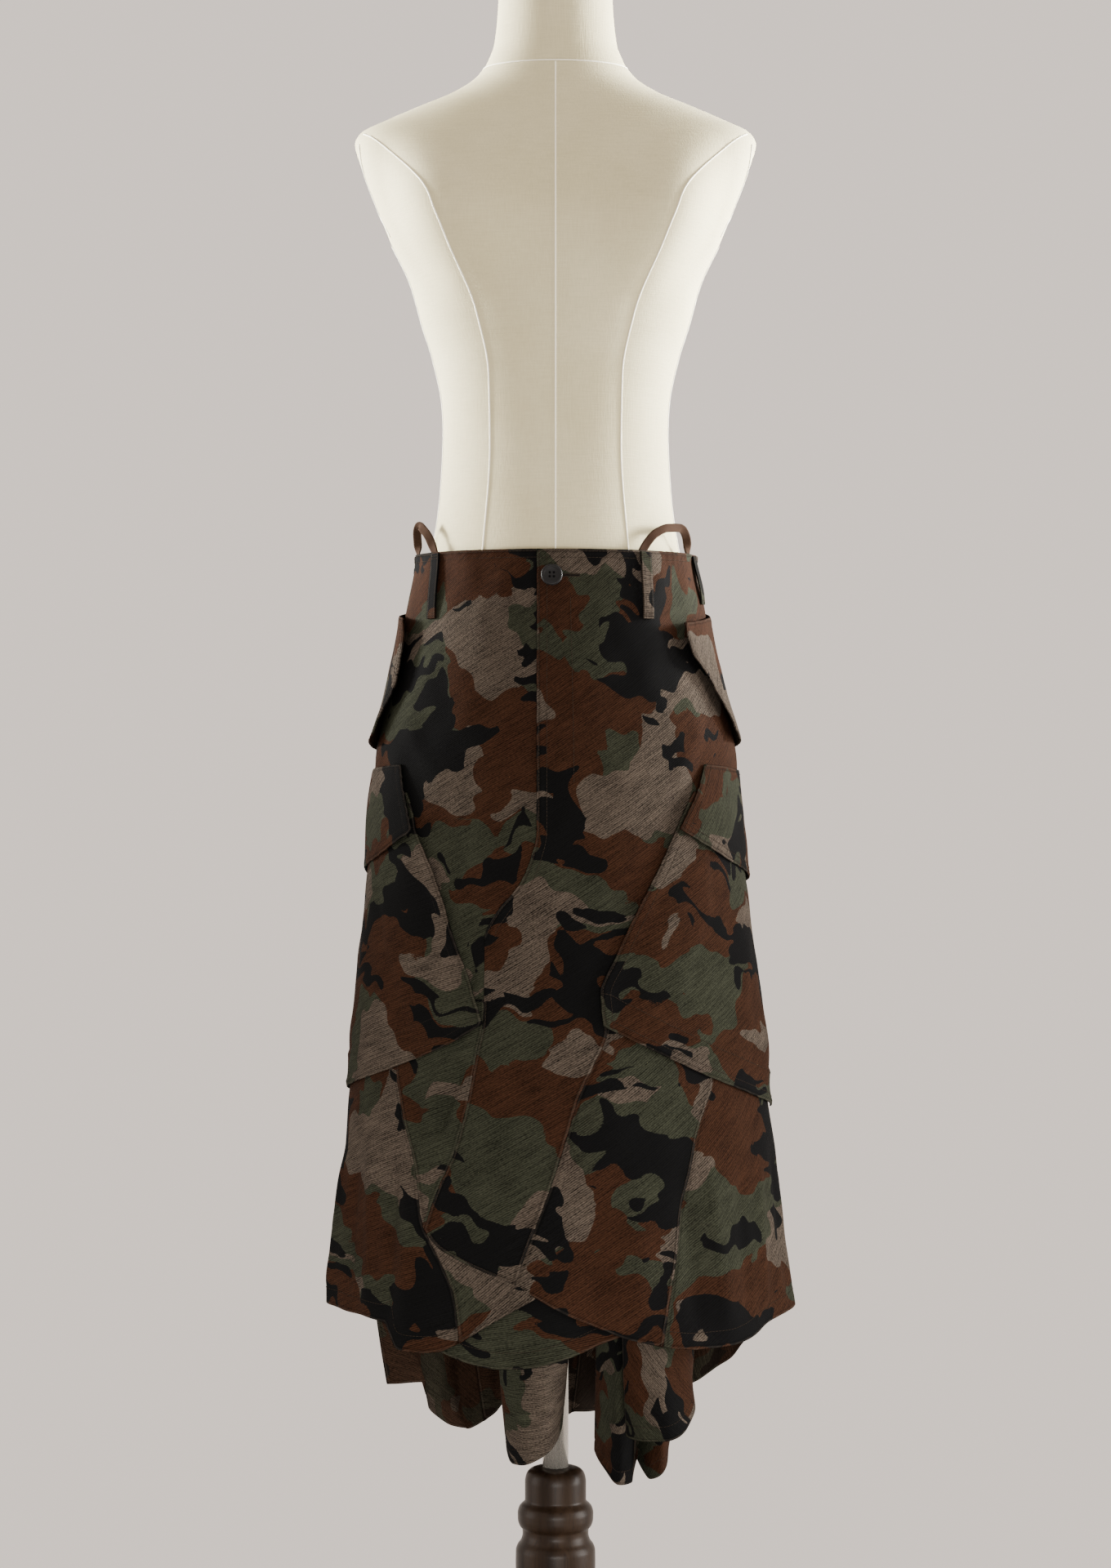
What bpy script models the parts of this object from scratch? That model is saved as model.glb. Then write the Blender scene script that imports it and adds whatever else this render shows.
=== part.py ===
import math

import bmesh
import bpy
from mathutils import Vector

# Cargo skirt on a limbless dress form with a turned stand. Metres, +Z up, front at -Y.
# Left and right are the viewer's. Angles are degrees round the pole: 0 front, 90 right, 180 back.

# Driving sizes
CLOTH = 0.0014
SEAM_GAP = 0.0005
STAND_OFF = 0.0005
POCKET_OFF = 0.0012
POCKET_LINE_Z = 0.700
BACK_SEAM_Z = 0.500
FLOUNCE_TOP_Z = 0.512
UNDER_TOP_Z = 0.500
UNDER_LIFT = -0.0026
POCKET_PUFF = 0.0065
FLAP_PUFF = 0.0060
HIP_FLAP_PUFF = 0.0095
REST_GAP = 0.0003
METRES_PER_DEGREE = 0.0031
DEGREES_PER_METRE = 320.0
BUTTON_AROUND = 24
TAPE_POINTS = 22

# Skirt rings: height, half width, depth in front, depth behind, middle across
SKIRT_RINGS = (
    (0.180, 0.232, 0.196, 0.205, 0.005),
    (0.370, 0.226, 0.181, 0.188, 0.005),
    (0.402, 0.2224, 0.177, 0.182, 0.005),
    (0.473, 0.2140, 0.167, 0.171, 0.0045),
    (0.552, 0.2066, 0.157, 0.160, 0.004),
    (0.612, 0.2000, 0.150, 0.152, 0.003),
    (0.710, 0.1865, 0.140, 0.142, 0.002),
    (0.790, 0.1785, 0.134, 0.136, 0.001),
    (0.860, 0.1765, 0.1295, 0.132, 0.0),
    (0.925, 0.1735, 0.126, 0.129, 0.0),
    (1.000, 0.1590, 0.1215, 0.1215, 0.0),
    (1.060, 0.1455, 0.1165, 0.1125, 0.0),
    (1.120, 0.1365, 0.110, 0.104, 0.0),
    (1.200, 0.1365, 0.110, 0.104, 0.0),
)

# Soft folds: angle, half spread, depth outward, height where it starts, height where it is full
FOLDS = (
    (-41.0, 10.0, 0.0060, 0.560, 0.420),
    (-60.0, 12.0, -0.0050, 0.590, 0.420),
    (-84.0, 13.0, 0.0040, 0.570, 0.420),
    (-103.0, 11.0, -0.0040, 0.575, 0.430),
    (-12.0, 14.0, 0.0035, 0.540, 0.400),
    (10.0, 12.0, -0.0030, 0.560, 0.400),
    (45.0, 11.0, 0.0050, 0.560, 0.420),
    (63.0, 12.0, -0.0050, 0.580, 0.420),
    (82.0, 12.0, 0.0045, 0.560, 0.420),
    (103.0, 11.0, -0.0040, 0.560, 0.430),
    (126.0, 13.0, 0.0060, 0.780, 0.510),
    (150.0, 14.0, -0.0070, 0.800, 0.510),
    (176.0, 14.0, 0.0055, 0.760, 0.510),
    (-126.0, 13.0, 0.0055, 0.780, 0.510),
    (-152.0, 14.0, -0.0075, 0.820, 0.510),
)

# Heights shared by the rows of the upper panels
UPPER_ROWS = (1.120, 1.085, 1.040, 1.000, 0.960, 0.925, 0.890, 0.855, 0.835,
              0.815, 0.797, 0.785, 0.757, 0.730, 0.700)
MIDDLE_ROWS = (0.700, 0.660, 0.620, 0.580, 0.540, 0.500)

# Seams: angle, height
FLY_EDGE = ((-7.4, 1.120), (-6.5, 1.022), (-5.9, 0.946), (-5.7, 0.855), (-7.4, 0.832), (-9.9, 0.813),
            (-13.5, 0.797), (-17.2, 0.785), (-21.8, 0.757), (-21.7, 0.730), (-21.4, 0.690))
SIDE_SEAM = ((92.0, 1.120), (93.0, 1.000), (95.0, 0.920), (101.0, 0.800), (108.0, 0.700))
FRONT_COLUMN = ((44.0, 1.120), (40.0, 0.950), (30.0, 0.800), (13.9, 0.700))
GORE_INNER = ((-21.4, 0.700), (-21.3, 0.680), (-22.4, 0.655), (-23.6, 0.630), (-24.7, 0.606),
              (-26.6, 0.580), (-29.0, 0.553), (-32.4, 0.527), (-34.6, 0.507), (-36.0, 0.4874))
GORE_OUTER = ((-54.0, 0.700), (-52.3, 0.668), (-50.5, 0.635), (-48.0, 0.610), (-45.3, 0.584),
              (-43.1, 0.566), (-40.8, 0.548), (-38.8, 0.523), (-37.2, 0.498), (-36.4, 0.490))
INSERT_OUTER = ((-36.0, 0.4874), (-32.6, 0.468), (-29.2, 0.448), (-26.9, 0.430), (-25.6, 0.410),
                (-24.6, 0.3863))
TONGUE_BOTTOM = ((-36.0, 0.4874), (-31.9, 0.4719), (-22.5, 0.4566), (-10.9, 0.4418))
RIGHT_SEAM = ((13.9, 0.700), (13.7, 0.672), (9.6, 0.641), (5.2, 0.610), (1.9, 0.575),
              (-1.4, 0.5395), (-3.4, 0.519), (-5.5, 0.4988), (-8.2, 0.472), (-10.9, 0.4418))
RIGHT_LOWER_SEAM = ((50.0, 0.700), (48.0, 0.660), (46.3, 0.621), (42.5, 0.598), (39.4, 0.578),
                    (36.5, 0.550), (34.1, 0.524), (31.9, 0.499), (28.9, 0.448), (26.5, 0.415),
                    (24.7, 0.3826))

# Hems: angle, height
LEFT_HEM = ((-112.0, 0.402), (-101.0, 0.403), (-91.0, 0.402), (-82.0, 0.402), (-74.0, 0.402),
            (-66.0, 0.401), (-59.0, 0.401), (-53.0, 0.400), (-48.0, 0.399), (-45.0, 0.390),
            (-41.5, 0.377), (-36.0, 0.3755), (-30.5, 0.377), (-24.6, 0.3863))
INSERT_HEM = ((-5.9, 0.429), (-15.7, 0.4076), (-24.5, 0.3863))
RIGHT_GORE_HEM = ((-5.9, 0.429), (1.0, 0.4145), (7.7, 0.4033), (15.5, 0.3915), (24.7, 0.3826))
RIGHT_HEM = ((24.7, 0.3826), (34.7, 0.3785), (42.3, 0.379), (49.7, 0.3823), (57.0, 0.387),
             (63.7, 0.3915), (76.0, 0.398), (90.0, 0.4025), (112.0, 0.405))
UNDER_HEM = ((-30.5, 0.3785), (-23.4, 0.3696), (-15.3, 0.3644),
             (-7.6, 0.366), (1.9, 0.3751), (9.6, 0.3863), (15.5, 0.3937), (24.0, 0.402), (32.0, 0.408))

# Cargo pockets: front, bottom and back edges as angle, height
POCKET_LEFT = (
    ((-52.0, 0.892), (-48.3, 0.870), (-46.6, 0.856), (-42.4, 0.835), (-36.5, 0.796), (-32.0, 0.762),
     (-26.2, 0.721), (-20.9, 0.678)),
    ((-20.9, 0.678), (-31.9, 0.657), (-50.1, 0.635), (-63.7, 0.623), (-83.0, 0.611), (-96.0, 0.604)),
    ((-121.0, 0.872), (-118.0, 0.800), (-109.0, 0.700), (-96.0, 0.604)),
)
POCKET_RIGHT = (
    ((47.2, 0.893), (42.5, 0.873), (39.3, 0.858), (29.5, 0.809), (22.3, 0.772), (16.8, 0.739),
     (11.9, 0.705), (12.4, 0.676)),
    ((12.4, 0.676), (24.5, 0.656), (33.4, 0.642), (47.4, 0.623), (71.9, 0.600), (92.0, 0.588)),
    ((120.0, 0.872), (117.0, 0.790), (108.0, 0.690), (92.0, 0.588)),
)
# Flaps: top, bottom edges
CARGO_FLAP_LEFT = (((-56.2, 0.919), (-90.0, 0.913), (-124.0, 0.896)),
                   ((-46.6, 0.856), (-56.0, 0.843), (-67.0, 0.831), (-90.0, 0.8187), (-117.0, 0.804)))
CARGO_FLAP_RIGHT = (((53.9, 0.919), (90.0, 0.912), (123.0, 0.896)),
                    ((39.3, 0.858), (47.6, 0.8455), (60.8, 0.830), (90.0, 0.8116), (116.0, 0.797)))
# Hip flaps: free front edge and hinge behind
HIP_FLAP_LEFT = (((-65.7, 1.058), (-63.5, 1.035), (-63.2, 1.000), (-70.8, 0.964), (-76.0, 0.940)),
                 ((-99.0, 1.066), (-100.0, 1.035), (-101.0, 1.000), (-102.0, 0.965), (-100.0, 0.932)))
HIP_FLAP_RIGHT = (((50.8, 1.052), (51.8, 1.026), (59.4, 1.003), (66.2, 0.9785), (74.2, 0.9445)),
                  ((99.0, 1.066), (100.0, 1.035), (101.0, 1.000), (102.0, 0.968), (100.0, 0.934)))

# Back tier hem: across, depth, height
FLOUNCE_HEM = (
    (-0.1680, 0.085, 0.305), (-0.1300, 0.105, 0.303), (-0.1300, 0.135, 0.276), (-0.1047, 0.170, 0.247),
    (-0.0906, 0.200, 0.239), (-0.0615, 0.170, 0.260), (-0.0486, 0.140, 0.279), (-0.0400, 0.200, 0.245),
    (0.0017, 0.170, 0.253), (0.0199, 0.155, 0.264), (0.0400, 0.180, 0.2605), (0.0650, 0.215, 0.250),
    (0.0950, 0.170, 0.270), (0.1200, 0.135, 0.290), (0.1388, 0.110, 0.302), (0.1580, 0.100, 0.317),
    (0.1750, 0.085, 0.331), (0.1880, 0.070, 0.351),
)
FLOUNCE_ANGLES = (-111.5, -248.5)
FLOUNCE_LIFT = -0.0024
FLOUNCE_CUTS = (0, 16, 32, 45, 56)

# Tails: angles at the top, top height, lift there, fall, then hem as across, depth, height
TAIL_CENTRE = (-16.0, 2.5, 0.420, -0.0048, 1.4, (
    (-0.0455, -0.100, 0.276), (-0.0400, -0.120, 0.267), (-0.0273, -0.138, 0.2694),
    (-0.0053, -0.135, 0.2815), (0.0038, -0.118, 0.291), (0.0065, -0.095, 0.305)))
TAIL_RIGHT = (15.0, 36.0, 0.430, -0.0048, 1.7, (
    (0.0662, -0.100, 0.2886), (0.0829, -0.125, 0.2879), (0.1049, -0.130, 0.2902),
    (0.1232, -0.115, 0.2985), (0.1308, -0.095, 0.313), (0.1290, -0.070, 0.326)))
TAIL_BEHIND = (9.0, 34.0, 0.430, -0.0070, 1.0, (
    (0.0374, -0.020, 0.2604), (0.0476, -0.050, 0.2448), (0.0600, -0.065, 0.2362), (0.0733, -0.050, 0.2354),
    (0.0780, -0.022, 0.2526), (0.0889, -0.045, 0.237), (0.0998, -0.055, 0.2432), (0.1084, -0.035, 0.2581),
    (0.1108, -0.010, 0.2744)))

# Belt loops: name, angle at top, angle at bottom, top height, bottom height
LOOP_WIDTH = 0.012
LOOP_PUFF = 0.0022
BELT_LOOPS = (
    ("belt_loop_front_left", -55.6, -53.4, 1.1185, 1.0565),
    ("belt_loop_front_right", 38.0, 36.0, 1.1185, 1.0550),
    ("belt_loop_side_right", 77.0, 77.0, 1.1185, 1.0720),
    ("belt_loop_side_left", -116.0, -116.0, 1.1185, 1.0560),
    ("belt_loop_back", 174.0, 174.0, 1.1185, 1.0560),
)
# Hanger loops inside the waist: angle, height along the tape
TAPE_WIDTH = 0.0065
TAPE_THICK = 0.0012
TAPE_LIFT = -0.0026
HANGER_LEFT = ((-80.0, 1.098), (-78.5, 1.112), (-79.5, 1.128), (-80.5, 1.140), (-76.0, 1.1475),
               (-68.0, 1.141), (-62.0, 1.130), (-58.0, 1.117), (-57.0, 1.101))
HANGER_RIGHT = ((34.5, 1.098), (36.0, 1.112), (39.5, 1.126), (45.0, 1.137), (52.0, 1.1425),
                (61.0, 1.1435), (67.5, 1.136), (70.5, 1.124), (72.0, 1.110), (72.5, 1.098))

# Button: angle, height, radius, thickness
BUTTON = (-1.4, 1.0951, 0.0102, 0.0036)

# Form: height, half width, depth in front, depth behind, squareness
FORM_SECTIONS = (
    (0.8400, 0.150, 0.098, 0.104, 2.0),
    (0.8480, 0.1575, 0.106, 0.112, 2.0),
    (0.8700, 0.1610, 0.111, 0.117, 2.0),
    (0.9100, 0.1630, 0.1165, 0.1205, 2.0),
    (0.9550, 0.1622, 0.1195, 0.1210, 2.0),
    (1.0000, 0.1569, 0.1194, 0.1194, 2.0),
    (1.0400, 0.1478, 0.1155, 0.1125, 2.0),
    (1.0850, 0.1310, 0.1090, 0.1020, 2.0),
    (1.1290, 0.1180, 0.1020, 0.0920, 2.05),
    (1.1840, 0.1106, 0.0920, 0.0810, 2.1),
    (1.2400, 0.1080, 0.0850, 0.0750, 2.15),
    (1.2630, 0.1090, 0.0850, 0.0755, 2.2),
    (1.3110, 0.1185, 0.0910, 0.0820, 2.25),
    (1.3410, 0.1280, 0.0960, 0.0880, 2.3),
    (1.3830, 0.1400, 0.1010, 0.0955, 2.3),
    (1.4250, 0.1600, 0.1040, 0.1010, 2.3),
    (1.4506, 0.1700, 0.1030, 0.1035, 2.35),
    (1.4800, 0.1815, 0.0975, 0.1040, 2.4),
    (1.5000, 0.1890, 0.0910, 0.1000, 2.5),
    (1.5170, 0.1935, 0.0830, 0.0925, 2.5),
    (1.5260, 0.1890, 0.0770, 0.0860, 2.4),
    (1.5380, 0.1660, 0.0690, 0.0780, 2.3),
    (1.5525, 0.1330, 0.0620, 0.0700, 2.2),
    (1.5660, 0.1010, 0.0560, 0.0620, 2.1),
    (1.5800, 0.0790, 0.0500, 0.0550, 2.0),
    (1.5900, 0.0700, 0.0470, 0.0510, 2.0),
)
FORM_AROUND = 36
# Bust: angle, height, half spread in angle, half spread in height, fullness
BUST = ((-36.0, 1.437, 34.0, 0.090, 0.021), (36.0, 1.437, 34.0, 0.090, 0.021))
# Neck rings: height, half width, depth in front, depth behind
NECK_RINGS = (
    (1.5903, 0.0690, 0.0465, 0.0505), (1.600, 0.0645, 0.0460, 0.0495), (1.612, 0.0598, 0.0458, 0.0485),
    (1.635, 0.0566, 0.0458, 0.0478), (1.660, 0.0550, 0.0460, 0.0475), (1.6760, 0.0546, 0.0462, 0.0475),
    (1.6820, 0.0525, 0.0440, 0.0455), (1.6850, 0.0475, 0.0390, 0.0405), (1.6860, 0.0300, 0.0250, 0.0260),
)
NECK_AROUND = 26

# Stand profiles: radius, height
POLE_RADIUS = 0.0125
COLUMN_TOP_Z = 0.240
COLUMN_PROFILE = (
    (0.0560, 0.0283), (0.0580, 0.0330), (0.0570, 0.0400), (0.0500, 0.0450), (0.0430, 0.0500),
    (0.0400, 0.0580), (0.0362, 0.0750), (0.0352, 0.0950), (0.0362, 0.1180), (0.0382, 0.1320),
    (0.0386, 0.1480), (0.0384, 0.1600), (0.0368, 0.1650), (0.0334, 0.1700), (0.0318, 0.1760),
    (0.0320, 0.1800), (0.0348, 0.1840), (0.0365, 0.1900), (0.0366, 0.1960), (0.0350, 0.2020),
    (0.0312, 0.2060), (0.0296, 0.2080), (0.0296, 0.2260), (0.0286, 0.2320), (0.0258, 0.2368),
    (0.0205, 0.2395), (0.0150, 0.2400),
)
BASE_PROFILE = (
    (0.1860, 0.0), (0.1900, 0.0030), (0.1908, 0.0090), (0.1890, 0.0140), (0.1840, 0.0175),
    (0.1780, 0.0190), (0.1660, 0.0205), (0.1500, 0.0230), (0.1200, 0.0258), (0.0850, 0.0275),
    (0.0600, 0.0280),
)
TURNED_AROUND = 26
POLE_AROUND = 24

# Colours, linear red, green, blue, then roughness and metallic
CREAM = (0.56, 0.51, 0.39, 0.85, 0.0)
STEEL = (0.45, 0.42, 0.38, 0.30, 1.0)
WALNUT = (0.055, 0.030, 0.018, 0.40, 0.0)
GREEN = (0.060, 0.062, 0.036, 0.90, 0.0)
BROWN = (0.070, 0.030, 0.018, 0.90, 0.0)
KHAKI = (0.130, 0.105, 0.070, 0.90, 0.0)
TAPE = (0.190, 0.105, 0.060, 0.80, 0.0)
BLACK = (0.012, 0.011, 0.011, 0.45, 0.0)


def clear_scene():
    for item in list(bpy.data.objects):
        bpy.data.objects.remove(item, do_unlink=True)


def smooth_at(rows, key):
    """The other columns of a table at this first column, by a cubic that does not overshoot."""
    if key <= rows[0][0]:
        return rows[0][1:]
    if key >= rows[-1][0]:
        return rows[-1][1:]
    i = 0
    while key > rows[i + 1][0]:
        i += 1
    span = rows[i + 1][0] - rows[i][0]
    t = (key - rows[i][0]) / span
    found = []
    for c in range(1, len(rows[0])):
        here = (rows[i + 1][c] - rows[i][c]) / span
        before = here
        after = here
        if i > 0:
            before = (rows[i][c] - rows[i - 1][c]) / (rows[i][0] - rows[i - 1][0])
        if i + 2 < len(rows):
            after = (rows[i + 2][c] - rows[i + 1][c]) / (rows[i + 2][0] - rows[i + 1][0])
        start = 0.0 if before * here <= 0 else 2 * before * here / (before + here)
        end = 0.0 if after * here <= 0 else 2 * after * here / (after + here)
        found.append(
            rows[i][c] * (1 + 2 * t) * (1 - t) ** 2
            + start * span * t * (1 - t) ** 2
            + rows[i + 1][c] * t * t * (3 - 2 * t)
            + end * span * t * t * (t - 1)
        )
    return tuple(found)


def ease(t):
    t = min(1.0, max(0.0, t))
    return t * t * (3 - 2 * t)


def apart(a, b):
    return (a - b + 180.0) % 360.0 - 180.0


def fold_at(angle, z):
    total = 0.0
    for middle, spread, depth, start, full in FOLDS:
        away = abs(apart(angle, middle)) / spread
        if away < 1.0 and z < start:
            total += depth * (0.5 + 0.5 * math.cos(math.pi * away)) * ease((start - z) / (start - full))
    return total


def skirt_point(angle, z, lift):
    """A point this far out of the skirt's outer face."""
    half, front, behind, middle = smooth_at(SKIRT_RINGS, z)
    turn = math.radians(angle)
    deep = front if math.cos(turn) > 0 else behind
    across = math.sin(turn)
    along = -math.cos(turn)
    normal = Vector((across / half, along / deep, 0.0)).normalized()
    out = normal * (lift + fold_at(angle, z))
    return Vector((middle + half * across + out.x, deep * along + out.y, z))


def spaced(points, count):
    """This many points along a line through the given ones, evenly by index and distance."""
    lengths = [0.0]
    for a, b in zip(points, points[1:]):
        if len(a) == 2:
            step = math.hypot(METRES_PER_DEGREE * (b[0] - a[0]), b[1] - a[1])
        else:
            step = (Vector(b) - Vector(a)).length
        lengths.append(lengths[-1] + step)
    rows = [(length, *point) for length, point in zip(lengths, points)]
    return [smooth_at(rows, lengths[-1] * i / (count - 1)) for i in range(count)]


def angle_at(seam, z):
    rows = sorted((height, angle) for angle, height in seam)
    return smooth_at(rows, z)[0]


def level(start, end, z, count):
    return [(start + (end - start) * i / (count - 1), z) for i in range(count)]


def blend(top, bottom, left, right):
    """Rows of points inside four edges."""
    rows = len(left)
    columns = len(top)
    grid = []
    for j in range(rows):
        v = j / (rows - 1)
        line = []
        for i in range(columns):
            u = i / (columns - 1)
            point = []
            for c in range(len(top[0])):
                edges = (1 - v) * top[i][c] + v * bottom[i][c] + (1 - u) * left[j][c] + u * right[j][c]
                corners = (
                    (1 - u) * (1 - v) * top[0][c] + u * (1 - v) * top[-1][c]
                    + (1 - u) * v * bottom[0][c] + u * v * bottom[-1][c]
                )
                point.append(edges - corners)
            line.append(tuple(point))
        grid.append(line)
    return grid


def trimmed(grid, left=0.0, right=0.0, top=0.0, bottom=0.0):
    """Moves the grid's edges in by these lengths, so that neighbours stay apart."""
    moved = [list(line) for line in grid]
    for line in moved:
        ends = [i for i, point in enumerate(line) if point]
        way = 1.0 if line[ends[-1]][0] > line[ends[0]][0] else -1.0
        line[ends[0]] = (line[ends[0]][0] + way * left * DEGREES_PER_METRE, line[ends[0]][1])
        line[ends[-1]] = (line[ends[-1]][0] - way * right * DEGREES_PER_METRE, line[ends[-1]][1])
    moved[0] = [point and (point[0], point[1] - top) for point in moved[0]]
    moved[-1] = [point and (point[0], point[1] + bottom) for point in moved[-1]]
    return moved


def make_material(name, colour):
    material = bpy.data.materials.new(name)
    material.use_nodes = True
    shader = material.node_tree.nodes["Principled BSDF"]
    shader.inputs["Base Color"].default_value = (*colour[:3], 1.0)
    shader.inputs["Roughness"].default_value = colour[3]
    shader.inputs["Metallic"].default_value = colour[4]
    return material


def add_object(name, build, colour, collection):
    mesh = bpy.data.meshes.new(name)
    build.to_mesh(mesh)
    build.free()
    mesh.shade_smooth()
    mesh.materials.append(make_material(name, colour))
    item = bpy.data.objects.new(name, mesh)
    collection.objects.link(item)
    return item


def make_sheet(name, grid, colour, collection, thick=CLOTH):
    """A wall of even thickness behind a grid of points, which may leave cells out."""
    build = bmesh.new()
    points = [[build.verts.new(p) if p is not None else None for p in line] for line in grid]
    for j in range(len(grid) - 1):
        for i in range(len(grid[0]) - 1):
            corners = (points[j][i], points[j + 1][i], points[j + 1][i + 1], points[j][i + 1])
            if all(corner is not None for corner in corners):
                build.faces.new(corners)
    build.normal_update()
    outward = 0.0
    for face in build.faces:
        centre = face.calc_center_median()
        outward += face.calc_area() * face.normal.dot(Vector((centre.x, centre.y, 0.0)))
    if outward < 0:
        bmesh.ops.reverse_faces(build, faces=build.faces[:])
    item = add_object(name, build, colour, collection)
    wall = item.modifiers.new("Wall", "SOLIDIFY")
    wall.thickness = thick
    wall.offset = -1.0
    return item


def make_panel(name, grid, colour, collection, lift=0.0, rise=None):
    """A wall that follows the skirt: rise(u, v) lifts it further out."""
    rows = len(grid)
    columns = len(grid[0])
    points = []
    for j, line in enumerate(grid):
        points.append([])
        for i, point in enumerate(line):
            if point is None:
                points[-1].append(None)
                continue
            up = lift
            if rise:
                up += rise(i / (columns - 1), j / (rows - 1))
            points[-1].append(skirt_point(point[0], point[1], up))
    return make_sheet(name, points, colour, collection)


def make_turned(name, profile, around, colour, collection):
    """A solid of revolution: the profile, given upwards, is closed to the axis at both ends."""
    build = bmesh.new()
    line = [(0.0, profile[0][1])] + list(profile) + [(0.0, profile[-1][1])]
    points = [build.verts.new((radius, 0.0, z)) for radius, z in reversed(line)]
    for a, b in zip(points, points[1:]):
        build.edges.new((a, b))
    item = add_object(name, build, colour, collection)
    turn = item.modifiers.new("Turn", "SCREW")
    turn.steps = around
    turn.render_steps = around
    turn.use_merge_vertices = True
    turn.merge_threshold = 0.00001
    return item


def oval_point(angle, half, front, behind, square):
    turn = math.radians(angle)
    s = math.sin(turn)
    c = math.cos(turn)
    power = 2.0 / square
    deep = front if c > 0 else behind
    x = half * math.copysign(abs(s) ** power, s)
    y = -deep * math.copysign(abs(c) ** power, c)
    return Vector((x, y, 0.0))


def bust_at(angle, z):
    out = 0.0
    for middle, height, wide, tall, full in BUST:
        away = math.hypot(apart(angle, middle) / wide, (z - height) / tall)
        if away < 1.0:
            out += full * (0.5 + 0.5 * math.cos(math.pi * away))
    return out


def make_rings(name, sections, around, colour, collection):
    build = bmesh.new()
    rings = []
    for row in sections:
        z, half, front, behind = row[:4]
        square = row[4] if len(row) > 4 else 2.0
        ring = []
        for i in range(around):
            angle = 360.0 * i / around
            point = oval_point(angle, half, front, behind, square)
            out = bust_at(angle, z) if len(row) > 4 else 0.0
            direction = Vector((0.35 * point.x, point.y, 0.0)).normalized()
            point += direction * out
            ring.append(build.verts.new((point.x, point.y, z)))
        rings.append(ring)
    for low, high in zip(rings, rings[1:]):
        for i in range(around):
            k = (i + 1) % around
            build.faces.new((low[i], low[k], high[k], high[i]))
    build.faces.new(list(reversed(rings[0])))
    build.faces.new(rings[-1])
    return add_object(name, build, colour, collection)


def make_form(collection):
    make_rings("form_torso", FORM_SECTIONS, FORM_AROUND, CREAM, collection)
    make_rings("form_neck", NECK_RINGS, NECK_AROUND, CREAM, collection)
    pole = (
        (POLE_RADIUS, COLUMN_TOP_Z + REST_GAP),
        (POLE_RADIUS, FORM_SECTIONS[0][0] - REST_GAP),
    )
    make_turned("stand_pole", pole, POLE_AROUND, STEEL, collection)
    make_turned("stand_column", COLUMN_PROFILE, TURNED_AROUND, WALNUT, collection)
    make_turned("stand_base", BASE_PROFILE, TURNED_AROUND, WALNUT, collection)


def make_upper(collection):
    half = SEAM_GAP / 2
    count = 14
    grid = []
    for z in UPPER_ROWS:
        grid.append(level(-angle_at(SIDE_SEAM, z), angle_at(FLY_EDGE, z), z, count))
    grid = trimmed(grid, left=half, right=half, bottom=half)
    make_panel("front_left", grid, GREEN, collection)

    inner_count = 8
    outer_count = 11
    grid = []
    for z in UPPER_ROWS:
        middle = angle_at(FRONT_COLUMN, z)
        line = level(angle_at(FLY_EDGE, z), middle, z, inner_count)
        line += level(middle, angle_at(SIDE_SEAM, z), z, outer_count)[1:]
        grid.append(line)
    last = [(angle, z) for angle, z in grid[-1]]
    tongue = blend(
        last[:inner_count], spaced(TONGUE_BOTTOM, inner_count), list(GORE_INNER), list(RIGHT_SEAM)
    )
    tongue = trimmed(tongue, left=half, right=half, bottom=half)
    upper = trimmed(grid, left=half, right=half)
    for i in range(inner_count, inner_count + outer_count - 1):
        upper[-1][i] = (upper[-1][i][0], upper[-1][i][1] + half)
    whole = upper + [line + [None] * (outer_count - 1) for line in tongue[1:]]
    make_panel("front_right", whole, BROWN, collection)


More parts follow.
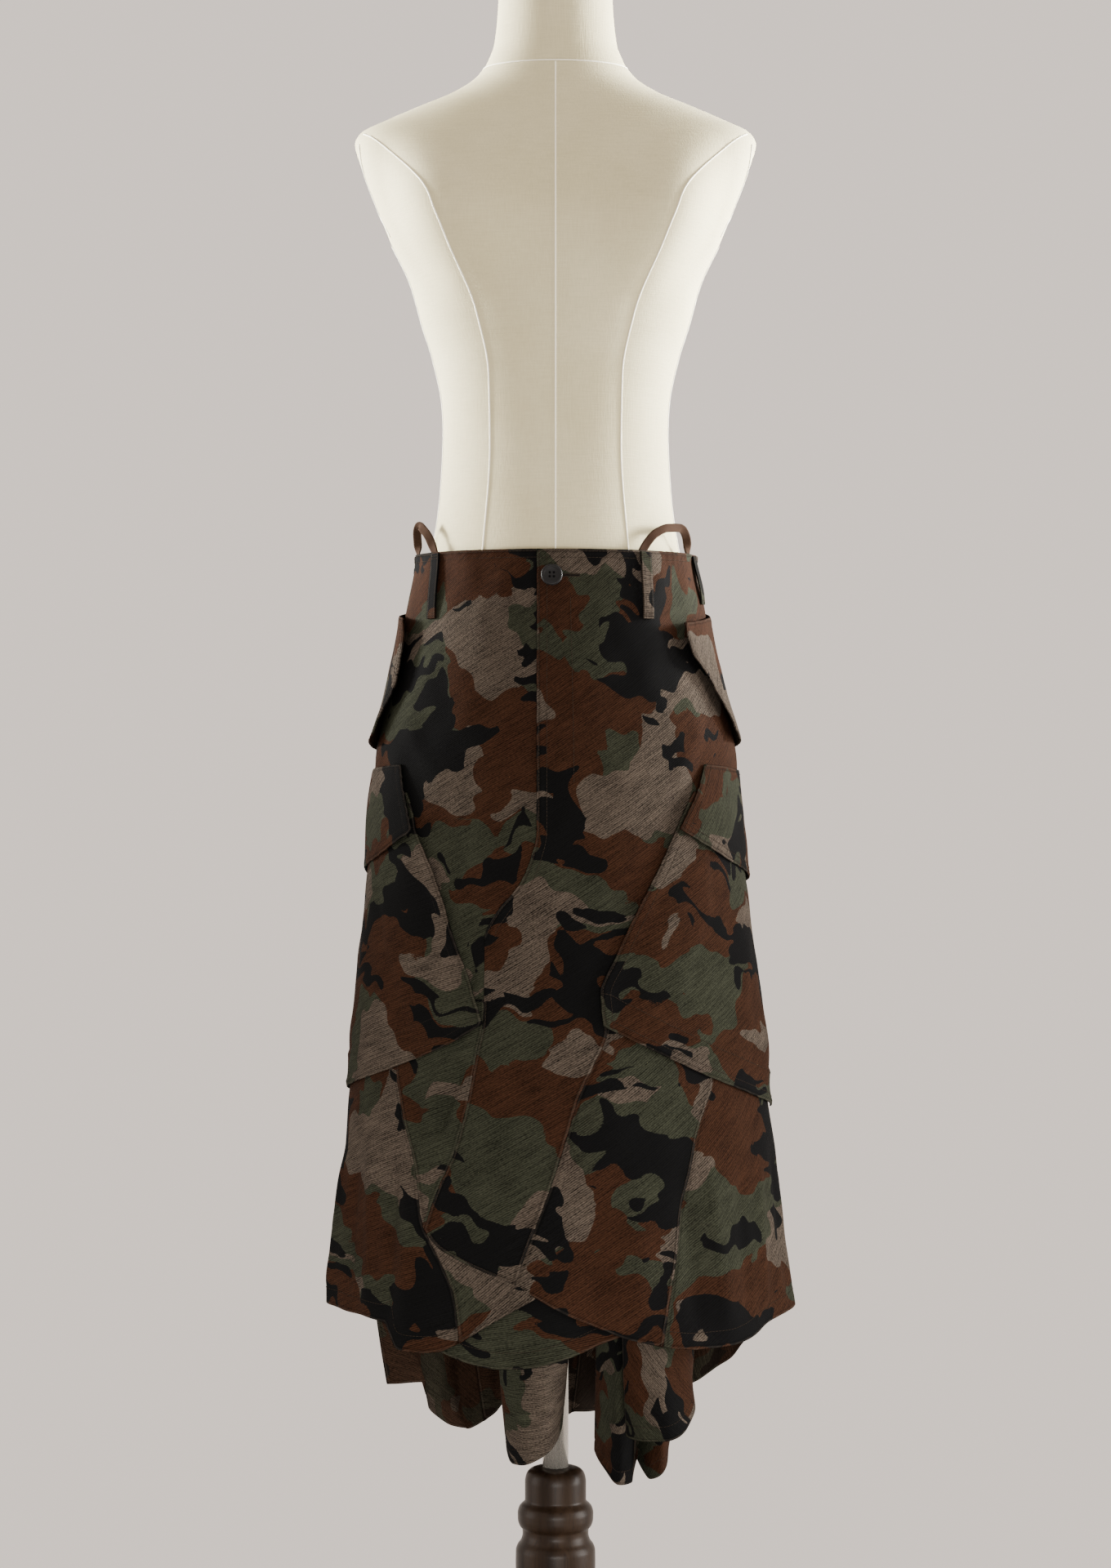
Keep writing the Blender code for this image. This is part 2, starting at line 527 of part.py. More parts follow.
def make_lower(collection):
    half = SEAM_GAP / 2
    top = level(-54.0, -21.4, POCKET_LINE_Z, 8)
    inner = list(GORE_INNER[:-1]) + [(-35.7, 0.4935)]
    outer = list(GORE_OUTER[:-1]) + [(-36.8, 0.4945)]
    bottom = [(-36.8 + 1.1 * i / 7, 0.4945 - 0.001 * i / 7) for i in range(8)]
    grid = trimmed(blend(top, bottom, outer, inner), left=half, right=half, top=half)
    make_panel("left_gore", grid, BROWN, collection)

    count = len(LEFT_HEM)
    right = list(GORE_OUTER) + list(INSERT_OUTER[1:])
    left = spaced(((-108.0, 0.700), (-110.0, 0.550), (-112.0, 0.402)), len(right))
    top = level(-108.0, -54.0, POCKET_LINE_Z, count)
    grid = blend(top, list(LEFT_HEM), left, right)
    grid = trimmed(grid, left=half, right=half, top=half)
    make_panel("left_side", grid, GREEN, collection)

    rows = 7
    top = spaced(TONGUE_BOTTOM, 8) + [(-5.9, 0.429)]
    left = spaced(INSERT_OUTER, rows + 1)[:rows]
    right = spaced(INSERT_HEM, rows + 1)[:rows]
    (start, low), (end, high) = left[-1], right[-1]
    bottom = [(start + (end - start) * i / 8, low + (high - low) * i / 8) for i in range(9)]
    grid = trimmed(blend(top, bottom, left, right), left=half, top=half, right=half)
    make_panel("hem_insert", grid, GREEN, collection)

    count = 9
    left = list(RIGHT_SEAM) + [(-5.9, 0.4292)]
    top = level(13.9, 50.0, POCKET_LINE_Z, count)
    grid = blend(top, spaced(RIGHT_GORE_HEM, count), left, list(RIGHT_LOWER_SEAM))
    grid = trimmed(grid, left=half, right=half, top=half)
    make_panel("right_gore", grid, KHAKI, collection)

    count = 13
    left = list(RIGHT_LOWER_SEAM)
    right = spaced(((108.0, 0.700), (110.0, 0.550), (112.0, 0.405)), len(left))
    top = level(50.0, 108.0, POCKET_LINE_Z, count)
    grid = blend(top, spaced(RIGHT_HEM, count), left, right)
    grid = trimmed(grid, left=half, right=half, top=half)
    make_panel("right_side", grid, BROWN, collection)

    count = 13
    top = level(-31.0, 32.0, UNDER_TOP_Z, count)
    bottom = spaced(UNDER_HEM, count)
    grid = blend(top, bottom, spaced((top[0], bottom[0]), 6), spaced((top[-1], bottom[-1]), 6))
    make_panel("front_underlayer", grid, BROWN, collection, lift=UNDER_LIFT)


def make_back(collection):
    half = SEAM_GAP / 2
    for name, sign in (("back_left", -1.0), ("back_right", 1.0)):
        grid = []
        for z in UPPER_ROWS:
            grid.append(level(sign * 180.0, sign * angle_at(SIDE_SEAM, z), z, 14))
        for z in MIDDLE_ROWS[1:]:
            edge = 108.0 + 4.0 * (POCKET_LINE_Z - z) / 0.298
            grid.append(level(sign * 180.0, sign * edge, z, 14))
        grid = trimmed(grid, left=half, right=half)
        make_panel(name, grid, GREEN if sign < 0 else BROWN, collection)


def pocket_rise(u, v):
    side = min(1.0, math.sin(math.pi * u) * 1.6)
    return POCKET_PUFF * ease(side) * ease(v / 0.55) * ease((1.0 - v) / 0.30)


def make_pocket(name, edges, colour, collection):
    front, bottom, back = edges
    columns = 14
    rows = 9
    near = spaced(front, rows)
    far = spaced(back, rows)
    top = [
        (near[0][0] + (far[0][0] - near[0][0]) * i / (columns - 1),
         near[0][1] + (far[0][1] - near[0][1]) * i / (columns - 1))
        for i in range(columns)
    ]
    low = spaced(bottom, columns)
    grid = blend(top, low, near, far)
    make_panel(name, grid, colour, collection, lift=POCKET_OFF + CLOTH, rise=pocket_rise)


def make_cargo_flap(name, edges, colour, collection):
    top, bottom = edges
    columns = 14
    rows = 6
    high = spaced(top, columns)
    low = spaced(bottom, columns)
    grid = blend(high, low, spaced((high[0], low[0]), rows), spaced((high[-1], low[-1]), rows))
    make_panel(name, grid, colour, collection, lift=STAND_OFF + CLOTH,
               rise=lambda u, v: FLAP_PUFF * (1 - (1 - v) ** 2))


def make_hip_flap(name, edges, colour, collection):
    free, hinge = edges
    rows = 7
    columns = 8
    near = spaced(hinge, rows)
    far = spaced(free, rows)
    grid = blend(spaced((near[0], far[0]), columns), spaced((near[-1], far[-1]), columns), near, far)
    make_panel(name, grid, colour, collection, lift=STAND_OFF + CLOTH,
               rise=lambda u, v: HIP_FLAP_PUFF * u ** 1.5)


def make_strap(name, line, width, thick, lift, puff, colour, collection):
    """A flat strap along a line of angle and height, its middle lifted by puff."""
    grid = []
    count = len(line)
    for i, (angle, z) in enumerate(line):
        before = skirt_point(*line[max(i - 1, 0)], lift)
        after = skirt_point(*line[min(i + 1, count - 1)], lift)
        here = skirt_point(angle, z, lift)
        normal = (skirt_point(angle, z, lift + 0.01) - here).normalized()
        side = (after - before).cross(normal).normalized() * (width / 2)
        up = normal * puff * math.sin(math.pi * i / (count - 1))
        grid.append([here + up + side * s for s in (-1.0, 0.0, 1.0)])
    make_sheet(name, grid, colour, collection, thick)


def make_trim(collection):
    make_pocket("cargo_pocket_left", POCKET_LEFT, BROWN, collection)
    make_pocket("cargo_pocket_right", POCKET_RIGHT, GREEN, collection)
    make_cargo_flap("cargo_flap_left", CARGO_FLAP_LEFT, GREEN, collection)
    make_cargo_flap("cargo_flap_right", CARGO_FLAP_RIGHT, BROWN, collection)
    make_hip_flap("hip_flap_left", HIP_FLAP_LEFT, BROWN, collection)
    make_hip_flap("hip_flap_right", HIP_FLAP_RIGHT, GREEN, collection)
    for name, high, low, top, bottom in BELT_LOOPS:
        line = [(high + (low - high) * i / 8, top + (bottom - top) * i / 8) for i in range(9)]
        make_strap(name, line, LOOP_WIDTH, CLOTH, STAND_OFF + CLOTH, LOOP_PUFF, GREEN, collection)
    for name, line in (("hanger_left", HANGER_LEFT), ("hanger_right", HANGER_RIGHT)):
        make_strap(name, spaced(line, TAPE_POINTS), TAPE_WIDTH, TAPE_THICK, TAPE_LIFT + TAPE_THICK / 2, 0.0,
                   TAPE, collection)
    make_button(collection)


def make_button(collection):
    angle, z, radius, thick = BUTTON
    centre = skirt_point(angle, z, STAND_OFF + REST_GAP)
    up = skirt_point(angle, z + radius, 0.0) - skirt_point(angle, z - radius, 0.0)
    normal = (skirt_point(angle + 2, z, 0.0) - skirt_point(angle - 2, z, 0.0)).cross(up).normalized()
    profile = ((radius * 0.92, 0.0), (radius, thick * 0.30), (radius, thick * 0.75), (radius * 0.93, thick),
               (radius * 0.80, thick), (radius * 0.70, thick * 0.78))
    button = make_turned("button", profile, BUTTON_AROUND, BLACK, collection)
    button.location = centre
    button.rotation_mode = "QUATERNION"
    button.rotation_quaternion = normal.to_track_quat("Z", "Y")


def tier_grid():
    """Rows of the whole back tier, from right to left as seen from the front."""
    count = FLOUNCE_CUTS[-1] + 1
    hem = spaced(FLOUNCE_HEM, count)
    downs = (0.0, 0.0, 0.10, 0.24, 0.40, 0.58, 0.78, 1.0)
    heights = (FLOUNCE_TOP_Z, BACK_SEAM_Z - 0.003)
    grid = []
    for j, down in enumerate(downs):
        line = []
        for i in reversed(range(count)):
            angle = FLOUNCE_ANGLES[0] + (FLOUNCE_ANGLES[1] - FLOUNCE_ANGLES[0]) * i / (count - 1)
            top = skirt_point(angle, heights[min(j, 1)], FLOUNCE_LIFT)
            drift = down ** 1.35
            line.append(Vector((
                top.x + (hem[i][0] - top.x) * drift,
                top.y + (hem[i][1] - top.y) * drift,
                top.z + (hem[i][2] - top.z) * down,
            )))
        grid.append(line)
    return grid


def make_tier(collection):
    grid = tier_grid()
    pieces = (("flounce_right", GREEN), ("flounce_back_right", BROWN),
              ("flounce_back_left", GREEN), ("flounce_left", BROWN))
    for (name, colour), first, last in zip(pieces, FLOUNCE_CUTS, FLOUNCE_CUTS[1:]):
        cut = [line[first:last + 1] for line in grid]
        for line in cut:
            line[0] = line[0] + (line[1] - line[0]).normalized() * SEAM_GAP / 2
            line[-1] = line[-1] + (line[-2] - line[-1]).normalized() * SEAM_GAP / 2
        make_sheet(name, cut, colour, collection)


def make_tail(name, table, columns, rows, colour, collection):
    start, end, top_z, lift, fall, hem_points = table
    hem = spaced(hem_points, columns)
    grid = []
    for j in range(rows):
        v = j / (rows - 1)
        line = []
        for i in range(columns):
            u = i / (columns - 1)
            top = skirt_point(start + (end - start) * u, top_z, lift)
            target = Vector(hem[i])
            drift = v ** fall
            line.append(Vector((top.x + (target.x - top.x) * drift, top.y + (target.y - top.y) * drift,
                                top.z + (target.z - top.z) * v)))
        grid.append(line)
    make_sheet(name, grid, colour, collection)


def main():
    clear_scene()
    collection = bpy.data.collections.new("cargo_skirt")
    bpy.context.scene.collection.children.link(collection)
    make_form(collection)
    make_upper(collection)
    make_lower(collection)
    make_back(collection)
    make_trim(collection)
    make_tier(collection)
    make_tail("tail_centre", TAIL_CENTRE, 11, 7, BROWN, collection)
    make_tail("tail_right", TAIL_RIGHT, 11, 7, GREEN, collection)
    make_tail("tail_right_behind", TAIL_BEHIND, 17, 7, BROWN, collection)


main()
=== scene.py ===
import math

import bmesh
import bpy
import numpy as np
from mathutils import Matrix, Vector


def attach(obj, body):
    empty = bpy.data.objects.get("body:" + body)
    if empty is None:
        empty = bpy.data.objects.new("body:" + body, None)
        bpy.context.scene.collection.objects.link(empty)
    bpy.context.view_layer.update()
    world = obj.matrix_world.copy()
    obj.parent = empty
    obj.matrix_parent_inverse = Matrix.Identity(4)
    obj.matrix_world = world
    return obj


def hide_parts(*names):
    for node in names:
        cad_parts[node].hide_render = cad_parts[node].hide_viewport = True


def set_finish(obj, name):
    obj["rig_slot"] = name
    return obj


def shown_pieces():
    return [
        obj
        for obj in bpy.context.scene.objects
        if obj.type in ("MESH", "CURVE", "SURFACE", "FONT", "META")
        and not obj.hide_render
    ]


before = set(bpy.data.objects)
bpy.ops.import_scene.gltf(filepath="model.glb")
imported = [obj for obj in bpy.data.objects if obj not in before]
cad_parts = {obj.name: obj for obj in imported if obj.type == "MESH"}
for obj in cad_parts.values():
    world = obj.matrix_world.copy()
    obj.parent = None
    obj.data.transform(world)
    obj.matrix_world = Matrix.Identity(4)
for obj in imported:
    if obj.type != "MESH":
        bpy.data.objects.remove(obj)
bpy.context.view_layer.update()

# Cargo skirt of camouflage cloth on a linen dress form with a turned stand. Metres, +Z up, front at -Y.
# Left and right are the viewer's. Angles are degrees round the pole: 0 front, 90 right, 180 back.

# Camera
CAMERA_AT = (0.0, -3.23, 0.90)
CAMERA_LENS = 76.7

# Cloth
CELL = 0.0045
THICK = 0.0010
PLY = 0.0016
DEGREE = 0.00323
GRAIN_RADIUS = 0.185
UNDER_LIFT = -0.0026
POCKET_LIFT = 0.0020
POCKET_PUFF = 0.0070
FLAP_LIFT = 0.0020
FLAP_PUFF = 0.0062
HIP_FLAP_PUFF = 0.0095
POCKET_LINE_Z = 0.700
BACK_SEAM_Z = 0.500
WAIST_Z = 1.120
FLOUNCE_TOP_Z = 0.512
UNDER_TOP_Z = 0.500

# Skirt rings: height, half width, depth in front, depth behind, middle across
SKIRT_RINGS = (
    (0.180, 0.232, 0.196, 0.205, 0.005),
    (0.370, 0.226, 0.181, 0.188, 0.005),
    (0.402, 0.2224, 0.177, 0.182, 0.005),
    (0.473, 0.2140, 0.167, 0.171, 0.0045),
    (0.552, 0.2066, 0.157, 0.160, 0.004),
    (0.612, 0.2000, 0.150, 0.152, 0.003),
    (0.710, 0.1865, 0.140, 0.142, 0.002),
    (0.790, 0.1785, 0.134, 0.136, 0.001),
    (0.860, 0.1765, 0.1295, 0.132, 0.0),
    (0.925, 0.1735, 0.126, 0.129, 0.0),
    (1.000, 0.1590, 0.1215, 0.1215, 0.0),
    (1.060, 0.1455, 0.1165, 0.1125, 0.0),
    (1.120, 0.1365, 0.110, 0.104, 0.0),
    (1.200, 0.1365, 0.110, 0.104, 0.0),
)

# Soft folds: angle, half spread, depth outward, height where it starts, height where it is full
FOLDS = (
    (-41.0, 10.0, 0.0060, 0.560, 0.420),
    (-60.0, 12.0, -0.0050, 0.590, 0.420),
    (-84.0, 13.0, 0.0040, 0.570, 0.420),
    (-103.0, 11.0, -0.0040, 0.575, 0.430),
    (-12.0, 14.0, 0.0035, 0.540, 0.400),
    (10.0, 12.0, -0.0030, 0.560, 0.400),
    (45.0, 11.0, 0.0050, 0.560, 0.420),
    (63.0, 12.0, -0.0050, 0.580, 0.420),
    (82.0, 12.0, 0.0045, 0.560, 0.420),
    (103.0, 11.0, -0.0040, 0.560, 0.430),
    (126.0, 13.0, 0.0060, 0.780, 0.510),
    (150.0, 14.0, -0.0070, 0.800, 0.510),
    (176.0, 14.0, 0.0055, 0.760, 0.510),
    (-126.0, 13.0, 0.0055, 0.780, 0.510),
    (-152.0, 14.0, -0.0075, 0.820, 0.510),
)

# Seams: angle, height
FLY_EDGE = ((-7.4, 1.120), (-6.5, 1.022), (-5.9, 0.946), (-5.7, 0.855), (-7.4, 0.832), (-9.9, 0.813),
            (-13.5, 0.797), (-17.2, 0.785), (-21.8, 0.757), (-21.7, 0.730), (-21.4, 0.690))
SIDE_SEAM = ((92.0, 1.120), (93.0, 1.000), (95.0, 0.920), (101.0, 0.800), (108.0, 0.700))
FRONT_COLUMN = ((44.0, 1.120), (40.0, 0.950), (30.0, 0.800), (13.9, 0.700))
GORE_INNER = ((-21.4, 0.700), (-21.3, 0.680), (-22.4, 0.655), (-23.6, 0.630), (-24.7, 0.606),
              (-26.6, 0.580), (-29.0, 0.553), (-32.4, 0.527), (-34.6, 0.507), (-36.0, 0.4874))
GORE_OUTER = ((-54.0, 0.700), (-52.3, 0.668), (-50.5, 0.635), (-48.0, 0.610), (-45.3, 0.584),
              (-43.1, 0.566), (-40.8, 0.548), (-38.8, 0.523), (-37.2, 0.498), (-36.4, 0.490))
INSERT_OUTER = ((-36.0, 0.4874), (-32.6, 0.468), (-29.2, 0.448), (-26.9, 0.430), (-25.6, 0.410),
                (-24.6, 0.3863))
TONGUE_BOTTOM = ((-36.0, 0.4874), (-31.9, 0.4719), (-22.5, 0.4566), (-10.9, 0.4418))
RIGHT_SEAM = ((13.9, 0.700), (13.7, 0.672), (9.6, 0.641), (5.2, 0.610), (1.9, 0.575),
              (-1.4, 0.5395), (-3.4, 0.519), (-5.5, 0.4988), (-8.2, 0.472), (-10.9, 0.4418))
RIGHT_LOWER_SEAM = ((50.0, 0.700), (48.0, 0.660), (46.3, 0.621), (42.5, 0.598), (39.4, 0.578),
                    (36.5, 0.550), (34.1, 0.524), (31.9, 0.499), (28.9, 0.448), (26.5, 0.415),
                    (24.7, 0.3826))

# Hems: angle, height
LEFT_HEM = ((-114.5, 0.402), (-101.0, 0.403), (-91.0, 0.402), (-82.0, 0.402), (-74.0, 0.402),
            (-66.0, 0.401), (-59.0, 0.401), (-53.0, 0.400), (-48.0, 0.399), (-45.0, 0.390),
            (-41.5, 0.377), (-36.0, 0.3755), (-30.5, 0.377), (-24.6, 0.3863))
INSERT_HEM = ((-5.9, 0.429), (-15.7, 0.4076), (-24.5, 0.3863))
RIGHT_GORE_HEM = ((-5.9, 0.429), (1.0, 0.4145), (7.7, 0.4033), (15.5, 0.3915), (24.7, 0.3826))
RIGHT_HEM = ((24.7, 0.3826), (34.7, 0.3785), (42.3, 0.379), (49.7, 0.3823), (57.0, 0.387),
             (63.7, 0.3915), (76.0, 0.398), (90.0, 0.4025), (114.5, 0.405))
UNDER_HEM = ((-30.5, 0.3785), (-23.4, 0.3696), (-15.3, 0.3644),
             (-7.6, 0.366), (1.9, 0.3751), (9.6, 0.3863), (15.5, 0.3937), (24.0, 0.402), (32.0, 0.408))

# Cargo pockets: front, bottom and back edges as angle, height
POCKET_LEFT = (
    ((-52.0, 0.892), (-48.3, 0.870), (-46.6, 0.856), (-42.4, 0.835), (-36.5, 0.796), (-32.0, 0.762),
     (-26.2, 0.721), (-20.9, 0.678)),
    ((-20.9, 0.678), (-31.9, 0.657), (-50.1, 0.635), (-63.7, 0.623), (-83.0, 0.611), (-96.0, 0.604)),
    ((-121.0, 0.872), (-118.0, 0.800), (-109.0, 0.700), (-96.0, 0.604)),
)
POCKET_RIGHT = (
    ((47.2, 0.893), (42.5, 0.873), (39.3, 0.858), (29.5, 0.809), (22.3, 0.772), (16.8, 0.739),
     (11.9, 0.705), (12.4, 0.676)),
    ((12.4, 0.676), (24.5, 0.656), (33.4, 0.642), (47.4, 0.623), (71.9, 0.600), (92.0, 0.588)),
    ((120.0, 0.872), (117.0, 0.790), (108.0, 0.690), (92.0, 0.588)),
)
# Flaps: top, bottom edges
CARGO_FLAP_LEFT = (((-56.2, 0.919), (-90.0, 0.913), (-124.0, 0.896)),
                   ((-46.6, 0.856), (-56.0, 0.843), (-67.0, 0.831), (-90.0, 0.8187), (-117.0, 0.804)))
CARGO_FLAP_RIGHT = (((53.9, 0.919), (90.0, 0.912), (123.0, 0.896)),
                    ((39.3, 0.858), (47.6, 0.8455), (60.8, 0.830), (90.0, 0.8116), (116.0, 0.797)))
# Hip flaps: free front edge and hinge behind
HIP_FLAP_LEFT = (((-65.7, 1.058), (-63.5, 1.035), (-63.2, 1.000), (-70.8, 0.964), (-76.0, 0.940)),
                 ((-99.0, 1.066), (-100.0, 1.035), (-101.0, 1.000), (-102.0, 0.965), (-100.0, 0.932)))
HIP_FLAP_RIGHT = (((50.8, 1.052), (51.8, 1.026), (59.4, 1.003), (66.2, 0.9785), (74.2, 0.9445)),
                  ((99.0, 1.066), (100.0, 1.035), (101.0, 1.000), (102.0, 0.968), (100.0, 0.934)))

# Back tier hem: across, depth, height
FLOUNCE_HEM = (
    (-0.1680, 0.085, 0.305), (-0.1300, 0.105, 0.303), (-0.1300, 0.135, 0.276), (-0.1047, 0.170, 0.247),
    (-0.0906, 0.200, 0.239), (-0.0615, 0.170, 0.260), (-0.0486, 0.140, 0.279), (-0.0400, 0.200, 0.245),
    (0.0017, 0.170, 0.253), (0.0199, 0.155, 0.264), (0.0400, 0.180, 0.2605), (0.0650, 0.215, 0.250),
    (0.0950, 0.170, 0.270), (0.1200, 0.135, 0.290), (0.1388, 0.110, 0.302), (0.1580, 0.100, 0.317),
    (0.1750, 0.085, 0.331), (0.1880, 0.070, 0.351),
)
FLOUNCE_ANGLES = (-111.5, -248.5)
FLOUNCE_LIFT = -0.0024
FLOUNCE_CUTS = (0, 16, 32, 45, 56)

# Tails: angles at the top, top height, lift there, fall, then hem as across, depth, height
TAIL_CENTRE = (-16.0, 2.5, 0.420, -0.0048, 1.4, (
    (-0.0455, -0.100, 0.276), (-0.0400, -0.120, 0.267), (-0.0273, -0.138, 0.2694),
    (-0.0053, -0.135, 0.2815), (0.0038, -0.118, 0.291), (0.0065, -0.095, 0.305)))
TAIL_RIGHT = (15.0, 36.0, 0.430, -0.0048, 1.7, (
    (0.0662, -0.100, 0.2886), (0.0829, -0.125, 0.2879), (0.1049, -0.130, 0.2902),
    (0.1232, -0.115, 0.2985), (0.1308, -0.095, 0.313), (0.1290, -0.070, 0.326)))
TAIL_BEHIND = (9.0, 34.0, 0.430, -0.0070, 1.0, (
    (0.0374, -0.020, 0.2604), (0.0476, -0.050, 0.2448), (0.0600, -0.065, 0.2362), (0.0733, -0.050, 0.2354),
    (0.0780, -0.022, 0.2526), (0.0889, -0.045, 0.237), (0.0998, -0.055, 0.2432), (0.1084, -0.035, 0.2581),
    (0.1108, -0.010, 0.2744)))

# Belt loops: name, angle at top, angle at bottom, top height, bottom height
LOOP_WIDTH = 0.012
LOOP_LIFT = 0.0022
LOOP_PUFF = 0.0022
BELT_LOOPS = (
    ("belt_loop_front_left", -55.6, -53.4, 1.1185, 1.0565),
    ("belt_loop_front_right", 38.0, 36.0, 1.1185, 1.0550),
    ("belt_loop_side_right", 77.0, 77.0, 1.1185, 1.0720),
    ("belt_loop_side_left", -116.0, -116.0, 1.1185, 1.0560),
    ("belt_loop_back", 174.0, 174.0, 1.1185, 1.0560),
)
# Hanger loops inside the waist: angle, height along the tape
TAPE_WIDTH = 0.0080
TAPE_THICK = 0.0012
TAPE_LIFT = -0.0026
TAPE_TWIST = 0.85
TAPE_TWIST_Z = (1.118, 1.132)
HANGER_LEFT = ((-80.0, 1.098), (-78.5, 1.112), (-79.5, 1.128), (-80.5, 1.140), (-76.0, 1.1475),
               (-68.0, 1.141), (-62.0, 1.130), (-58.0, 1.117), (-57.0, 1.101))
HANGER_RIGHT = ((34.5, 1.098), (36.0, 1.112), (39.5, 1.126), (45.0, 1.137), (52.0, 1.1425),
                (61.0, 1.1435), (67.5, 1.136), (70.5, 1.124), (72.0, 1.110), (72.5, 1.098))

# Button: angle, height, radius, thickness
BUTTON = (-1.4, 1.0951, 0.0102, 0.0036)
BUTTON_LIFT = 0.0022
HOLE_RADIUS = 0.0012
HOLE_APART = 0.0019

# Form: height, half width, depth in front, depth behind, squareness
FORM_SECTIONS = (
    (0.8400, 0.150, 0.098, 0.104, 2.0),
    (0.8480, 0.1575, 0.106, 0.112, 2.0),
    (0.8700, 0.1610, 0.111, 0.117, 2.0),
    (0.9100, 0.1630, 0.1165, 0.1205, 2.0),
    (0.9550, 0.1622, 0.1195, 0.1185, 2.0),
    (1.0000, 0.1569, 0.1194, 0.1165, 2.0),
    (1.0400, 0.1478, 0.1155, 0.1097, 2.0),
    (1.0850, 0.1310, 0.1090, 0.1000, 2.0),
    (1.1290, 0.1180, 0.1020, 0.0920, 2.05),
    (1.1840, 0.1106, 0.0920, 0.0810, 2.1),
    (1.2400, 0.1080, 0.0850, 0.0750, 2.15),
    (1.2630, 0.1090, 0.0850, 0.0755, 2.2),
    (1.3110, 0.1185, 0.0910, 0.0820, 2.25),
    (1.3410, 0.1280, 0.0960, 0.0880, 2.3),
    (1.3830, 0.1400, 0.1010, 0.0955, 2.3),
    (1.4250, 0.1600, 0.1040, 0.1010, 2.3),
    (1.4506, 0.1700, 0.1030, 0.1035, 2.35),
    (1.4800, 0.1815, 0.0975, 0.1040, 2.4),
    (1.5000, 0.1890, 0.0910, 0.1000, 2.5),
    (1.5170, 0.1935, 0.0830, 0.0925, 2.5),
    (1.5260, 0.1890, 0.0770, 0.0860, 2.4),
    (1.5380, 0.1660, 0.0690, 0.0780, 2.3),
    (1.5525, 0.1330, 0.0620, 0.0700, 2.2),
    (1.5660, 0.1010, 0.0560, 0.0620, 2.1),
    (1.5800, 0.0790, 0.0500, 0.0550, 2.0),
    (1.5900, 0.0700, 0.0470, 0.0510, 2.0),
)
# Bust: angle, height, half spread in angle, half spread in height, fullness
BUST = ((-36.0, 1.437, 34.0, 0.090, 0.021), (36.0, 1.437, 34.0, 0.090, 0.021))
# Neck rings: height, half width, depth in front, depth behind
NECK_RINGS = (
    (1.5903, 0.0690, 0.0465, 0.0505), (1.600, 0.0645, 0.0460, 0.0495), (1.612, 0.0598, 0.0458, 0.0485),
    (1.635, 0.0566, 0.0458, 0.0478), (1.660, 0.0550, 0.0460, 0.0475), (1.6760, 0.0546, 0.0462, 0.0475),
    (1.6820, 0.0525, 0.0440, 0.0455), (1.6850, 0.0475, 0.0390, 0.0405), (1.6860, 0.0300, 0.0250, 0.0260),
)

# Stand profiles: radius, height
POLE_RADIUS = 0.0125
COLUMN_TOP_Z = 0.240
POLE_TOP_Z = 0.8397
COLUMN_PROFILE = (
    (0.0560, 0.0283), (0.0580, 0.0330), (0.0570, 0.0400), (0.0500, 0.0450), (0.0430, 0.0500),
    (0.0400, 0.0580), (0.0362, 0.0750), (0.0352, 0.0950), (0.0362, 0.1180), (0.0382, 0.1320),
    (0.0386, 0.1480), (0.0384, 0.1600), (0.0368, 0.1650), (0.0334, 0.1700), (0.0318, 0.1760),
    (0.0320, 0.1800), (0.0348, 0.1840), (0.0365, 0.1900), (0.0366, 0.1960), (0.0350, 0.2020),
    (0.0312, 0.2060), (0.0296, 0.2080), (0.0296, 0.2260), (0.0286, 0.2320), (0.0258, 0.2368),
    (0.0205, 0.2395), (0.0150, 0.2400),
)
BASE_PROFILE = (
    (0.1860, 0.0), (0.1900, 0.0030), (0.1908, 0.0090), (0.1890, 0.0140), (0.1840, 0.0175),
    (0.1780, 0.0190), (0.1660, 0.0205), (0.1500, 0.0230), (0.1200, 0.0258), (0.0850, 0.0275),
    (0.0600, 0.0280),
)

